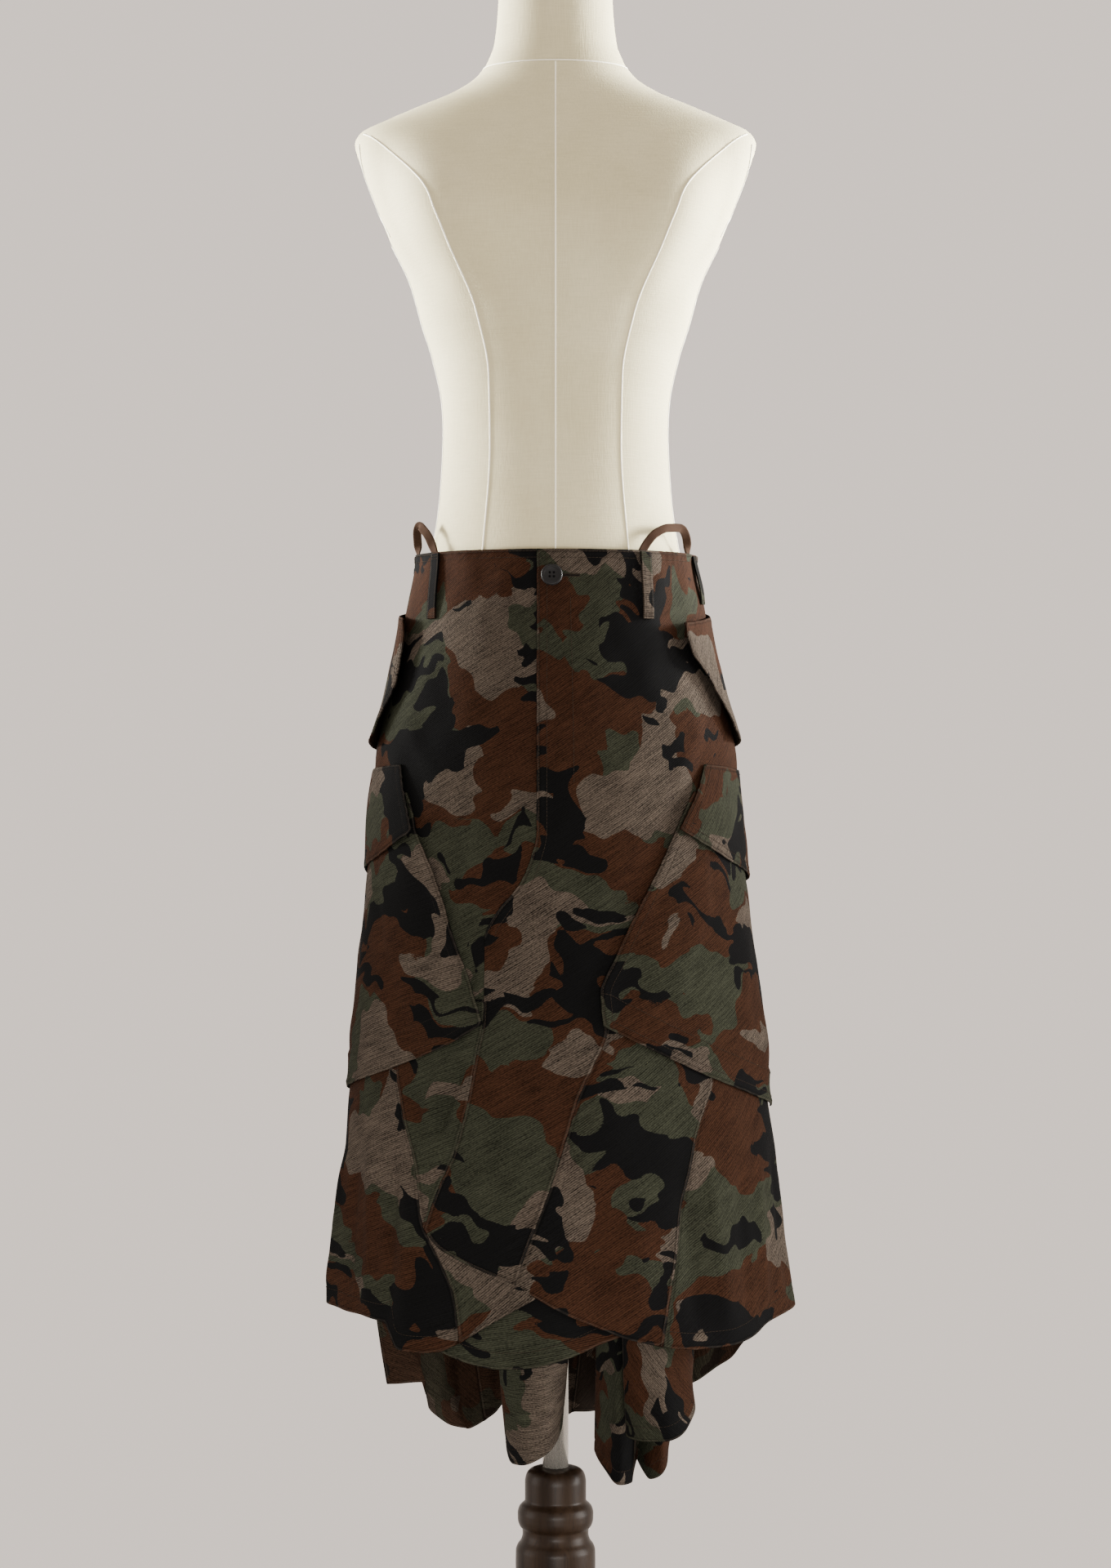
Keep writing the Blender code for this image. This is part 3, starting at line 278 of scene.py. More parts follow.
# Creases: start angle and height, end angle and height, half width, depth outward
CREASES = (
    (-43.0, 0.560, -38.5, 0.395, 0.0090, 0.0044),
    (-49.5, 0.575, -46.5, 0.405, 0.0080, -0.0052),
    (-60.0, 0.585, -57.0, 0.410, 0.0100, 0.0047),
    (-70.0, 0.580, -69.0, 0.412, 0.0110, -0.0045),
    (-83.0, 0.575, -82.0, 0.412, 0.0100, 0.0037),
    (-97.0, 0.580, -96.0, 0.410, 0.0110, -0.0042),
    (-25.5, 0.652, -34.5, 0.572, 0.0058, -0.0080),
    (-30.5, 0.655, -39.0, 0.585, 0.0055, 0.0044),
    (-45.5, 0.622, -38.5, 0.575, 0.0060, -0.0042),
    (33.0, 0.560, 34.5, 0.400, 0.0090, -0.0037),
    (42.0, 0.570, 43.5, 0.400, 0.0090, 0.0042),
    (55.0, 0.560, 52.5, 0.400, 0.0100, -0.0045),
    (66.0, 0.555, 62.5, 0.402, 0.0090, 0.0037),
    (80.0, 0.560, 78.0, 0.410, 0.0110, -0.0042),
    (96.0, 0.565, 95.0, 0.410, 0.0100, 0.0037),
    (-15.0, 0.560, -11.0, 0.440, 0.0160, 0.0018),
    (6.0, 0.540, 9.0, 0.410, 0.0140, -0.0016),
    (19.0, 0.530, 20.0, 0.400, 0.0120, 0.0016),
    (-58.0, 0.965, -38.0, 0.900, 0.0100, 0.0014),
    (-60.0, 0.945, -34.0, 0.860, 0.0110, -0.0014),
    (58.0, 0.968, 40.0, 0.905, 0.0100, 0.0014),
    (60.0, 0.945, 36.0, 0.865, 0.0110, -0.0014),
    (-14.0, 0.790, 6.0, 0.765, 0.0100, 0.0012),
    (-18.0, 0.742, 4.0, 0.722, 0.0110, -0.0012),
    (-30.0, 1.070, -12.0, 1.062, 0.0080, -0.0007),
    (16.0, 1.066, 34.0, 1.072, 0.0080, -0.0007),
    (118.0, 0.900, 121.0, 0.520, 0.0130, 0.0032),
    (137.0, 0.840, 134.0, 0.520, 0.0120, -0.0034),
    (160.0, 0.880, 163.0, 0.520, 0.0140, 0.0030),
    (-117.0, 0.900, -120.0, 0.520, 0.0130, 0.0030),
    (-139.0, 0.830, -136.0, 0.520, 0.0120, -0.0034),
    (-166.0, 0.860, -164.0, 0.520, 0.0140, 0.0028),
    (130.0, 1.010, 146.0, 0.960, 0.0110, 0.0012),
    (-130.0, 1.005, -148.0, 0.955, 0.0110, 0.0012),
)
# Gentle waves of worn cloth: turns across and up per metre, phase, height
WAVES = (
    (9.0, 3.0, 0.4, 0.00050),
    (-6.0, 7.0, 2.1, 0.00045),
    (15.0, -5.0, 4.0, 0.00030),
    (4.0, 14.0, 1.2, 0.00028),
    (23.0, 11.0, 5.3, 0.00016),
    (-19.0, 21.0, 0.9, 0.00014),
)

# Stitches, and how far their rows are from a folded edge, a waist or a hem
STITCH_PITCH = 0.0034
STITCH_LENGTH = 0.0026
THREAD_RADIUS = 0.00024
EDGE_ROW = 0.0022
WAIST_ROW = 0.0080
HEM_ROW = 0.0150
# Row beside the fly: angle, top height, bottom height
FLY_ROW = (5.6, 1.075, 0.900)


# Curves and surfaces

def smooth_rows(rows, keys):
    """The other columns of a table at these first-column values, by a cubic that does not overshoot."""
    table = np.array(rows, float)
    x = table[:, 0]
    y = table[:, 1:]
    keys = np.clip(np.asarray(keys, float), x[0], x[-1])
    span = np.diff(x)[:, None]
    rise = np.diff(y, axis=0) / span
    product = rise[:-1] * rise[1:]
    total = rise[:-1] + rise[1:]
    inner = np.where(product > 0, 2 * product / np.where(total == 0, 1.0, total), 0.0)
    slope = np.concatenate([rise[:1], inner, rise[-1:]])
    i = np.clip(np.searchsorted(x, keys, side="right") - 1, 0, len(x) - 2)
    width = span[i]
    t = (keys - x[i])[..., None] / width
    return (
        y[i] * (1 + 2 * t) * (1 - t) ** 2
        + slope[i] * width * t * (1 - t) ** 2
        + y[i + 1] * t * t * (3 - 2 * t)
        + slope[i + 1] * width * t * t * (t - 1)
    )


def ease(t):
    t = np.clip(t, 0.0, 1.0)
    return t * t * (3 - 2 * t)


def apart(a, b):
    return (a - b + 180.0) % 360.0 - 180.0


def folds_at(angle, z):
    total = np.zeros(np.shape(angle))
    for middle, spread, depth, start, full in FOLDS:
        away = np.clip(abs(apart(angle, middle)) / spread, 0.0, 1.0)
        total += depth * (0.5 + 0.5 * np.cos(math.pi * away)) * ease((start - z) / (start - full))
    return total


def creases_at(angle, z):
    total = np.zeros(np.shape(angle))
    for start_angle, start_z, end_angle, end_z, half, depth in CREASES:
        along = np.array([(end_angle - start_angle) * DEGREE, end_z - start_z])
        length = np.linalg.norm(along)
        along = along / length
        across = np.array([along[1], -along[0]])
        x = apart(angle, start_angle) * DEGREE
        y = z - start_z
        t = (x * along[0] + y * along[1]) / length
        side = (x * across[0] + y * across[1]) / half
        fade = ease(t / 0.35) * ease((1.12 - t) / 0.25)
        total += depth * fade * np.exp(-side * side)
    return total


def waves_at(angle, z):
    x = np.radians(angle) * GRAIN_RADIUS
    total = np.zeros(np.shape(angle))
    for across, up, phase, height in WAVES:
        total += height * np.sin(2 * math.pi * (across * x + up * z) + phase)
    return total


def skirt_surface(angle, z, lift):
    """Points this far out of the skirt's outer face."""
    size = smooth_rows(SKIRT_RINGS, z)
    turn = np.radians(angle)
    across = np.sin(turn)
    along = -np.cos(turn)
    deep = np.where(along < 0, size[..., 1], size[..., 2])
    normal = np.stack([across / size[..., 0], along / deep], -1)
    normal /= np.linalg.norm(normal, axis=-1, keepdims=True)
    out = lift + folds_at(angle, z) + creases_at(angle, z) + waves_at(angle, z)
    x = size[..., 3] + size[..., 0] * across + normal[..., 0] * out
    y = deep * along + normal[..., 1] * out
    return np.stack([x, y, z * np.ones_like(x)], -1)


def lengths_along(points):
    points = np.array(points, float)
    if points.shape[1] == 2:
        points = points * (0.0031, 1.0)
    steps = np.linalg.norm(np.diff(points, axis=0), axis=1)
    return np.concatenate([[0.0], np.cumsum(steps)])


def spaced(points, count):
    lengths = lengths_along(points)
    rows = [(length, *point) for length, point in zip(lengths, points)]
    return smooth_rows(rows, np.linspace(0.0, lengths[-1], count))


def cells(*lines):
    return max(3, round(max(lengths_along(line)[-1] for line in lines) / CELL)) + 1


def angle_at(seam, z):
    rows = sorted((height, angle) for angle, height in seam)
    return smooth_rows(rows, z)[..., 0]


def blend(top, bottom, left, right):
    """A grid of points inside four edges, each a list of points; the first row is the top."""
    columns = cells(top, bottom)
    rows = cells(left, right)
    top, bottom = spaced(top, columns), spaced(bottom, columns)
    left, right = spaced(left, rows), spaced(right, rows)
    u = np.linspace(0, 1, columns)[None, :, None]
    v = np.linspace(0, 1, rows)[:, None, None]
    edges = (1 - v) * top[None] + v * bottom[None] + (1 - u) * left[:, None] + u * right[:, None]
    corners = (
        (1 - u) * (1 - v) * top[0] + u * (1 - v) * top[-1]
        + (1 - u) * v * bottom[0] + u * v * bottom[-1]
    )
    return edges - corners


def between(left, right, high, low):
    """A grid between two edges given as functions of height."""
    rows = round((high - low) / CELL) + 1
    z = np.linspace(high, low, rows)
    start, end = left(z), right(z)
    columns = round(abs(end - start).max() * DEGREE / CELL) + 1
    u = np.linspace(0, 1, columns)[None, :]
    angle = start[:, None] * (1 - u) + end[:, None] * u
    return np.stack([angle, z[:, None] * np.ones_like(angle)], -1)


def gap_to(grid, line):
    """Distance on the unrolled cloth from each point of a grid to a line, and the place along it."""
    dense = spaced(line, max(8, round(lengths_along(line)[-1] / 0.002)))
    flat = grid * (DEGREE, 1.0)
    dense = dense * (DEGREE, 1.0)
    near = np.empty(flat.shape[:-1])
    place = np.empty(flat.shape[:-1])
    for j, row in enumerate(flat):
        gaps = np.linalg.norm(row[:, None] - dense[None], axis=-1)
        near[j] = gaps.min(axis=1)
        place[j] = gaps.argmin(axis=1) * 0.002
    return near, place


def puckers(near, place, reach=0.011, height=0.00030):
    wave = np.sin(2 * math.pi * place / 0.0125 + 1.7 * np.sin(place * 61.0))
    return height * wave * np.exp(-near / reach)


def ridge(near, at, half, height):
    """A soft ridge this far inside an edge, or a groove where its height is negative."""
    return height * np.exp(-(((near - at) / half) ** 2))


def lapped(near, place):
    """The edge of a panel that is folded and sewn down over its neighbour."""
    return 0.00065 * (1 - ease(near / 0.010)) + puckers(near, place)


def tucked(near, place):
    """The edge of a panel that runs under its neighbour."""
    return -0.00030 * (1 - ease(near / 0.003)) + puckers(near, place)


def loose_hem(near, place):
    groove = ridge(near, HEM_ROW, 0.0022, -0.00055)
    roll = 0.0012 * np.sin(2 * math.pi * place / 0.083 + 0.8) * (1 - ease(near / 0.050))
    return groove + roll + puckers(abs(near - HEM_ROW), place, 0.007, 0.00035)


def soft_fly(near, place):
    return 0.0011 * (1 - ease(near / 0.012)) + puckers(near, place, 0.009, 0.0002)


# Cloth pieces

def grid_normals(points):
    down = np.gradient(points, axis=0)
    across = np.gradient(points, axis=1)
    normal = np.cross(down, across)
    return normal / np.maximum(np.linalg.norm(normal, axis=-1, keepdims=True), 1e-12)


def turned(flat, degrees, shift):
    """Cloth coordinates turned and moved, so that each panel is cut from its own place in the cloth."""
    turn = math.radians(degrees)
    x = flat[..., 0] * math.cos(turn) - flat[..., 1] * math.sin(turn) + shift[0]
    y = flat[..., 0] * math.sin(turn) + flat[..., 1] * math.cos(turn) + shift[1]
    return np.stack([x, y], -1)


def grid_patch(shape, layers, points, flat, edge):
    """Adds one grid of cloth to a mesh: the first row of points is its top."""
    rows, columns = points.shape[:2]
    made = bmesh.ops.create_grid(shape, x_segments=columns - 1, y_segments=rows - 1, size=1.0)["verts"]
    for vert in made:
        i = round((vert.co.x + 1) / 2 * (columns - 1))
        j = rows - 1 - round((vert.co.y + 1) / 2 * (rows - 1))
        vert.co = points[j, i]
        vert[layers[0]] = flat[j, i, 0]
        vert[layers[1]] = flat[j, i, 1]
        vert[layers[2]] = edge[j, i]


def make_cloth(name, patches, thick=THICK, materials=("camouflage cloth", "cloth wrong side"), bevel=0.0003):
    """A sheet from grids of (points, flat cloth coordinates, distance to the nearest edge)."""
    shape = bmesh.new()
    layers = [shape.verts.layers.float.new(key) for key in ("cloth_x", "cloth_y", "edge")]
    for points, flat, edge in patches:
        outward = grid_normals(points)[..., :2] * points[..., :2]
        if outward.sum() < 0:
            points, flat, edge = points[:, ::-1], flat[:, ::-1], edge[:, ::-1]
        grid_patch(shape, layers, points, flat, edge)
    if len(patches) > 1:
        bmesh.ops.remove_doubles(shape, verts=shape.verts[:], dist=0.0004)
    place = shape.loops.layers.uv.new("cloth")
    for face in shape.faces:
        for loop in face.loops:
            loop[place].uv = (loop.vert[layers[0]], loop.vert[layers[1]])
    shape.verts.layers.float.remove(shape.verts.layers.float["cloth_x"])
    shape.verts.layers.float.remove(shape.verts.layers.float["cloth_y"])
    piece = finish_piece(name, shape, *materials)
    wall = piece.modifiers.new("Wall", "SOLIDIFY")
    wall.thickness = thick
    wall.offset = -1.0
    wall.use_even_offset = True
    wall.material_offset = len(materials) - 1
    if bevel:
        soft = piece.modifiers.new("Soft edge", "BEVEL")
        soft.width = bevel
        soft.segments = 1
        soft.limit_method = "ANGLE"
        soft.angle_limit = math.radians(55)
    return piece


def finish_piece(name, shape, *materials):
    mesh = bpy.data.meshes.new(name)
    shape.to_mesh(mesh)
    shape.free()
    mesh.shade_smooth()
    for material in materials:
        mesh.materials.append(bpy.data.materials[material])
    piece = bpy.data.objects.new(name, mesh)
    bpy.context.scene.collection.objects.link(piece)
    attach(piece, "root")
    return piece


def skirt_patch(grid, lift, turn=0.0, shift=(0.0, 0.0), edges=(), extra=None):
    """One grid on the skirt. Edges are pairs of a line and the way it is finished."""
    up = lift * np.ones(grid.shape[:2])
    nearest = np.full(grid.shape[:2], 0.1)
    for line, finish in edges:
        near, place = gap_to(grid, line)
        up += finish(near, place)
        nearest = np.minimum(nearest, near)
    if extra is not None:
        up += extra
    points = skirt_surface(grid[..., 0], grid[..., 1], up)
    flat = np.stack([np.radians(grid[..., 0]) * GRAIN_RADIUS, grid[..., 1]], -1)
    return points, turned(flat, turn, shift), nearest


# Stitching

STITCHES = {}


def inset_line(points, side, inset):
    """A line this far inside one edge of a grid of points, with the surface's normals."""
    if side in ("left", "right"):
        points = np.swapaxes(points, 0, 1)
        flip = -1.0
    else:
        flip = 1.0
    if side in ("bottom", "right"):
        points = points[::-1]
        flip = -flip
    normals = grid_normals(points) * flip
    edge = points[0]
    along = np.gradient(edge, axis=0)
    along /= np.linalg.norm(along, axis=1, keepdims=True)
    into = points[1] - points[0]
    into /= np.linalg.norm(into, axis=1, keepdims=True)
    lean = np.sqrt(np.clip(1 - (along * into).sum(axis=1) ** 2, 0.15, 1.0))
    line = np.empty_like(edge)
    normal = np.empty_like(edge)
    for i in range(points.shape[1]):
        lengths = lengths_along(points[:, i])
        for c in range(3):
            line[i, c] = np.interp(inset / lean[i], lengths, points[:, i, c])
            normal[i, c] = np.interp(inset / lean[i], lengths, normals[:, i, c])
    return line, normal


def stitch(group, line, normal, start=0.0, end=1.0, rise=0.00012):
    """Adds a row of short stitches along a line to a group of stitching."""
    lengths = lengths_along(line)
    places = np.arange(start * lengths[-1] + 0.001, end * lengths[-1] - STITCH_LENGTH, STITCH_PITCH)
    marks = places[:, None] + np.array([0.0, 0.5, 1.0]) * STITCH_LENGTH
    lift = np.array([-0.3, 1.0, -0.3]) * rise + rise
    found = np.empty((len(places), 3, 3))
    for c in range(3):
        on_line = np.interp(marks, lengths, line[:, c])
        out = np.interp(marks, lengths, normal[:, c])
        found[..., c] = on_line + out * lift
    STITCHES.setdefault(group, []).extend(found)


def stitch_edge(group, points, side, *insets, start=0.0, end=1.0):
    for inset in insets:
        line, normal = inset_line(points, side, inset)
        stitch(group, line, normal, start, end)


def make_stitching():
    for group, rows in STITCHES.items():
        curve = bpy.data.curves.new(group, "CURVE")
        curve.dimensions = "3D"
        curve.bevel_depth = THREAD_RADIUS
        curve.bevel_resolution = 0
        curve.resolution_u = 1
        for row in rows:
            spline = curve.splines.new("POLY")
            spline.points.add(len(row) - 1)
            for point, place in zip(spline.points, row):
                point.co = (*place, 1.0)
        curve.materials.append(bpy.data.materials["sewing thread"])
        piece = bpy.data.objects.new(group, curve)
        bpy.context.scene.collection.objects.link(piece)
        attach(piece, "root")
        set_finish(piece, "camo_twill")


# Skirt panels

def fly_angle(z):
    return angle_at(FLY_EDGE, z)


def side_angle(z):
    return angle_at(SIDE_SEAM, z)


def column_angle(z):
    return angle_at(FRONT_COLUMN, z)


def make_front():
    waist_left = ((-92.0, WAIST_Z), (-7.4, WAIST_Z))
    waist_right = ((-7.4, WAIST_Z), (92.0, WAIST_Z))
    side_left = tuple((-angle, z) for angle, z in SIDE_SEAM)

    grid = between(lambda z: -side_angle(z), lambda z: fly_angle(z) + 4.0, WAIST_Z, POCKET_LINE_Z)
    past = (grid[..., 0] - fly_angle(grid[..., 1])) * DEGREE
    under = -0.0014 * ease((past + 0.002) / 0.003)
    patch = skirt_patch(grid, 0.0, 6.0, (0.31, 0.12), ((side_left, tucked), (waist_left, waist_fold)), under)
    piece = make_cloth("front_panel_left", [patch])
    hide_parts("front_left")
    stitch_edge("waist_stitching", patch[0], "top", WAIST_ROW, EDGE_ROW, end=0.955)

    inner = between(fly_angle, column_angle, WAIST_Z, POCKET_LINE_Z)
    outer = between(column_angle, side_angle, WAIST_Z, POCKET_LINE_Z)
    rows = len(inner)
    outer = outer[:rows]
    last = inner[-1]
    tongue = blend([tuple(p) for p in last], TONGUE_BOTTOM, GORE_INNER, RIGHT_SEAM)
    columns = tongue.shape[1]
    u = np.linspace(0, 1, columns)
    z = inner[:, 0, 1]
    angles = fly_angle(z)[:, None] * (1 - u) + column_angle(z)[:, None] * u
    inner = np.stack([angles, inner[:, :1, 1] * np.ones(columns)], -1)
    tongue[0] = inner[-1]
    edges = ((FLY_EDGE[:9], soft_fly), (waist_right, waist_fold), (SIDE_SEAM, tucked))
    below = ((GORE_INNER, lapped), (RIGHT_SEAM, lapped), (TONGUE_BOTTOM, lapped), (FLY_EDGE[:9], soft_fly))
    cut = dict(turn=2.0, shift=(0.05, -0.33))
    patches = [
        skirt_patch(inner, 0.0, edges=edges + below[:2], **cut),
        skirt_patch(outer, 0.0, edges=edges + below[:2], **cut),
        skirt_patch(tongue, 0.0, edges=below, **cut),
    ]
    piece = make_cloth("front_panel_right", patches)
    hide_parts("front_right")
    stitch_edge("fly_stitching", patches[0][0], "left", EDGE_ROW, 0.0095, end=0.86)
    fly_line()
    stitch_edge("waist_stitching", patches[0][0], "top", WAIST_ROW, EDGE_ROW)
    stitch_edge("waist_stitching", patches[1][0], "top", WAIST_ROW, EDGE_ROW)
    stitch_edge("panel_stitching", patches[2][0], "right", EDGE_ROW)
    stitch_edge("panel_stitching", patches[2][0], "left", EDGE_ROW)
    stitch_edge("panel_stitching", patches[2][0], "bottom", EDGE_ROW)


def waist_fold(near, place):
    return ridge(near, 0.0085, 0.002, -0.0004) + puckers(near, place, 0.012, 0.0002)


def fly_line():
    """The straight row of stitches that holds the fly facing, beside the fly's edge."""
    z = np.linspace(*FLY_ROW[1:], 60)
    angle = np.full(60, FLY_ROW[0])
    lift = 0.0002
    line = skirt_surface(angle, z, lift)
    normal = skirt_surface(angle, z, lift + 0.001) - line
    stitch("fly_stitching", line, normal / np.linalg.norm(normal, axis=1, keepdims=True))


def make_lower():
    top = ((-54.0, 0.700), (-21.4, 0.700))
    bottom = ((-36.8, 0.4900), (-36.0, 0.4890))
    grid = blend(top, bottom, GORE_OUTER, GORE_INNER)
    patch = skirt_patch(grid, 0.0, 10.0, (0.10, 0.52), ((GORE_OUTER, lapped), (GORE_INNER, tucked)))
    piece = make_cloth("left_gore_panel", [patch])
    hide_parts("left_gore")
    stitch_edge("panel_stitching", patch[0], "left", EDGE_ROW, start=0.12, end=0.95)

    right = GORE_OUTER + INSERT_OUTER[1:]
    left = ((-108.0, 0.700), (-110.0, 0.550), (-110.8, 0.503), (-113.5, 0.494), (-114.5, 0.402))
    grid = blend(((-108.0, 0.700), (-54.0, 0.700)), LEFT_HEM, left, right)
    edges = ((GORE_OUTER, tucked), (INSERT_OUTER, tucked), (LEFT_HEM, loose_hem), (left, tucked))
    patch = skirt_patch(grid, 0.0, 13.0, (0.42, 0.06), edges)
    piece = make_cloth("left_side_panel", [patch])
    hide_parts("left_side")
    stitch_edge("hem_stitching", patch[0], "bottom", HEM_ROW)

    top = TONGUE_BOTTOM + ((-5.9, 0.429),)
    corner = ((-24.6, 0.3863), (-24.0, 0.3865))
    grid = blend(top, corner, INSERT_OUTER, INSERT_HEM)
    edges = ((TONGUE_BOTTOM, tucked), (INSERT_OUTER, lapped), (INSERT_HEM, tucked))
    patch = skirt_patch(grid, 0.0, -12.0, (0.27, 0.40), edges)
    piece = make_cloth("hem_corner_panel", [patch])
    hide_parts("hem_insert")
    stitch_edge("panel_stitching", patch[0], "left", EDGE_ROW)
    stitch_edge("panel_stitching", patch[0], "right", EDGE_ROW)

    left = RIGHT_SEAM + ((-5.9, 0.4292),)
    grid = blend(((13.9, 0.700), (50.0, 0.700)), RIGHT_GORE_HEM, left, RIGHT_LOWER_SEAM)
    edges = ((left, tucked), (RIGHT_LOWER_SEAM, lapped), (RIGHT_GORE_HEM, plain_hem))
    patch = skirt_patch(grid, 0.0, -3.0, (0.02, -0.36), edges)
    piece = make_cloth("right_gore_panel", [patch])
    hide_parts("right_gore")
    stitch_edge("panel_stitching", patch[0], "right", EDGE_ROW, start=0.30)

    right = ((108.0, 0.700), (110.0, 0.550), (110.8, 0.503), (113.5, 0.494), (114.5, 0.405))
    grid = blend(((50.0, 0.700), (108.0, 0.700)), RIGHT_HEM, RIGHT_LOWER_SEAM, right)
    edges = ((RIGHT_LOWER_SEAM, tucked), (RIGHT_HEM, loose_hem), (right, tucked))
    patch = skirt_patch(grid, 0.0, -6.0, (0.66, 0.30), edges)
    piece = make_cloth("right_side_panel", [patch])
    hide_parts("right_side")
    stitch_edge("hem_stitching", patch[0], "bottom", HEM_ROW)

    start = ((-31.0, UNDER_TOP_Z), (32.0, UNDER_TOP_Z))
    grid = blend(start, UNDER_HEM, (start[0], UNDER_HEM[0]), (start[1], UNDER_HEM[-1]))
    patch = skirt_patch(grid, UNDER_LIFT, 20.0, (0.9, 0.2), ((UNDER_HEM, loose_hem),))
    piece = make_cloth("front_under_layer", [patch])
    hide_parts("front_underlayer")
    stitch_edge("hem_stitching", patch[0], "bottom", HEM_ROW)


def plain_hem(near, place):
    return puckers(near, place, 0.010, 0.00025) + ridge(near, 0.003, 0.001, -0.0002)


def make_back():
    for name, node, sign, turn, under in (("back_panel_left", "back_left", -1.0, 4.0, 3.0),
                                          ("back_panel_right", "back_right", 1.0, -6.0, 0.0)):
        def edge(z):
            above = angle_at(SIDE_SEAM, np.maximum(z, POCKET_LINE_Z))
            return sign * (above + 4.0 * np.maximum(POCKET_LINE_Z - z, 0.0) / 0.298)

        grid = between(lambda z: sign * (180.0 + under) + 0.0 * z, edge, WAIST_Z, BACK_SEAM_Z)
        dip = -0.0017 * (under > 0) * ease((np.abs(grid[..., 0]) - 179.2) / 1.4)
        z = np.linspace(WAIST_Z, BACK_SEAM_Z, 24)
        side = tuple(zip(edge(z), z))
        middle = ((sign * (180.0 + under), WAIST_Z), (sign * (180.0 + under), BACK_SEAM_Z))
        low = ((sign * 180.0, BACK_SEAM_Z), (sign * 110.7, BACK_SEAM_Z))
        high = ((sign * 180.0, WAIST_Z), (sign * 92.0, WAIST_Z))
        edges = ((side, lapped), (middle, lapped if sign > 0 else tucked), (low, lapped), (high, waist_fold))
        patch = skirt_patch(grid, 0.0, turn, (1.3, 0.7 * sign), edges, dip)
        piece = make_cloth(name, [patch])
        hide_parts(node)
        stitch_edge("waist_stitching", patch[0], "top", WAIST_ROW, EDGE_ROW)
        stitch_edge("panel_stitching", patch[0], "right", EDGE_ROW, 0.0090)
        stitch_edge("panel_stitching", patch[0], "bottom", EDGE_ROW)
        if sign > 0:
            stitch_edge("panel_stitching", patch[0], "left", EDGE_ROW, 0.0090)


# Pockets, flaps and loops

def pocket_lift(u, v):
    side = np.minimum(1.0, np.sin(math.pi * u) * 1.6)
    return POCKET_PUFF * ease(side) * ease(v / 0.55) * ease((1.0 - v) / 0.24)


def units(grid):
    rows, columns = grid.shape[:2]
    u = np.linspace(0, 1, columns)[None, :] * np.ones((rows, 1))
    v = np.linspace(0, 1, rows)[:, None] * np.ones((1, columns))
    return u, v


# Bands of doubled cloth on a pocket: width, height, run of the step, run of the start
HEM_BAND = (0.031, 0.0017, 0.0022, 0.004)
BINDING = (0.0105, 0.0009, 0.0020, 0.002)
# Bellows pleats: height, across
PLEAT_RISE = 0.0018
PLEAT_LEFT = ((0.640, -0.121), (0.668, -0.129), (0.748, -0.153), (0.826, -0.163))
PLEAT_RIGHT = ((0.630, 0.090), (0.704, 0.116), (0.726, 0.122), (0.781, 0.140))


def pleat_rise(grid, pleat):
    """How far a pocket's middle stands above its outer side, which begins at the pleat."""
    here = skirt_surface(grid[..., 0], grid[..., 1], 0.0)
    height, across = np.array(pleat).T
    line = np.interp(here[..., 2], height, across)
    outer = (here[..., 0] - line) * np.sign(line)
    outer = np.where(here[..., 1] > 0, 1.0, outer)
    return PLEAT_RISE * (1 - ease(outer / 0.003 + 0.5))


def edge_band(near, width, height, step, start):
    """A band of doubled cloth along an edge."""
    return height * (1 - ease((near - width) / step)) * ease(near / start)


def make_pocket(name, node, edges, pleat, turn, shift):
    front, bottom, back = edges
    grid = blend((front[0], back[0]), bottom, front, back)
    u, v = units(grid)
    rise = pocket_lift(u, v)
    band = gap_to(grid, bottom)[0]
    binding = gap_to(grid, front)[0]
    rise += pleat_rise(grid, pleat) * ease(v / 0.3) * ease(band / 0.012)
    rise += edge_band(band, *HEM_BAND)
    rise += edge_band(binding, *BINDING)
    patch = skirt_patch(grid, POCKET_LIFT, turn, shift, ((front, lapped), (bottom, soft_fly)), rise)
    piece = make_cloth(name, [patch], PLY)
    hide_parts(node)
    stitch_edge("pocket_stitching", patch[0], "left", EDGE_ROW, 0.0098)
    stitch_edge("pocket_stitching", patch[0], "bottom", 0.0085, 0.0290)
    return patch[0]


def make_cargo_flap(name, node, edges, turn, shift):
    top, bottom = edges
    grid = blend(top, bottom, (top[0], bottom[0]), (top[-1], bottom[-1]))
    u, v = units(grid)
    rise = FLAP_PUFF * (1 - (1 - v) ** 2) + 0.0016 * v * np.sin(u * 9.0 + 0.6)
    border = ((top, tucked), (bottom, flap_edge), ((top[0], bottom[0]), flap_edge))
    patch = skirt_patch(grid, FLAP_LIFT, turn, shift, border, rise)
    piece = make_cloth(name, [patch], PLY)
    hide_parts(node)
    stitch_edge("flap_stitching", patch[0], "bottom", EDGE_ROW, 0.0085)
    stitch_edge("flap_stitching", patch[0], "left", EDGE_ROW, 0.0085)
    stitch_edge("flap_stitching", patch[0], "top", 0.0040)


def flap_edge(near, place):
    return ridge(near, 0.004, 0.003, 0.0005) + puckers(near, place, 0.008, 0.0002)


def make_hip_flap(name, node, edges, turn, shift):
    free, hinge = edges
    grid = blend((hinge[0], free[0]), (hinge[-1], free[-1]), hinge, free)
    u, v = units(grid)
    rise = HIP_FLAP_PUFF * u ** 1.5 + 0.0010 * u * np.sin(v * 8.0 + 1.0)
    border = ((free, flap_edge), ((hinge[0], free[0]), flap_edge), ((hinge[-1], free[-1]), flap_edge))
    patch = skirt_patch(grid, FLAP_LIFT, turn, shift, border, rise)
    piece = make_cloth(name, [patch], PLY)
    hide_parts(node)
    stitch_edge("flap_stitching", patch[0], "right", EDGE_ROW, 0.0085)
    stitch_edge("flap_stitching", patch[0], "bottom", EDGE_ROW, 0.0085)
    stitch_edge("flap_stitching", patch[0], "top", EDGE_ROW, 0.0085)


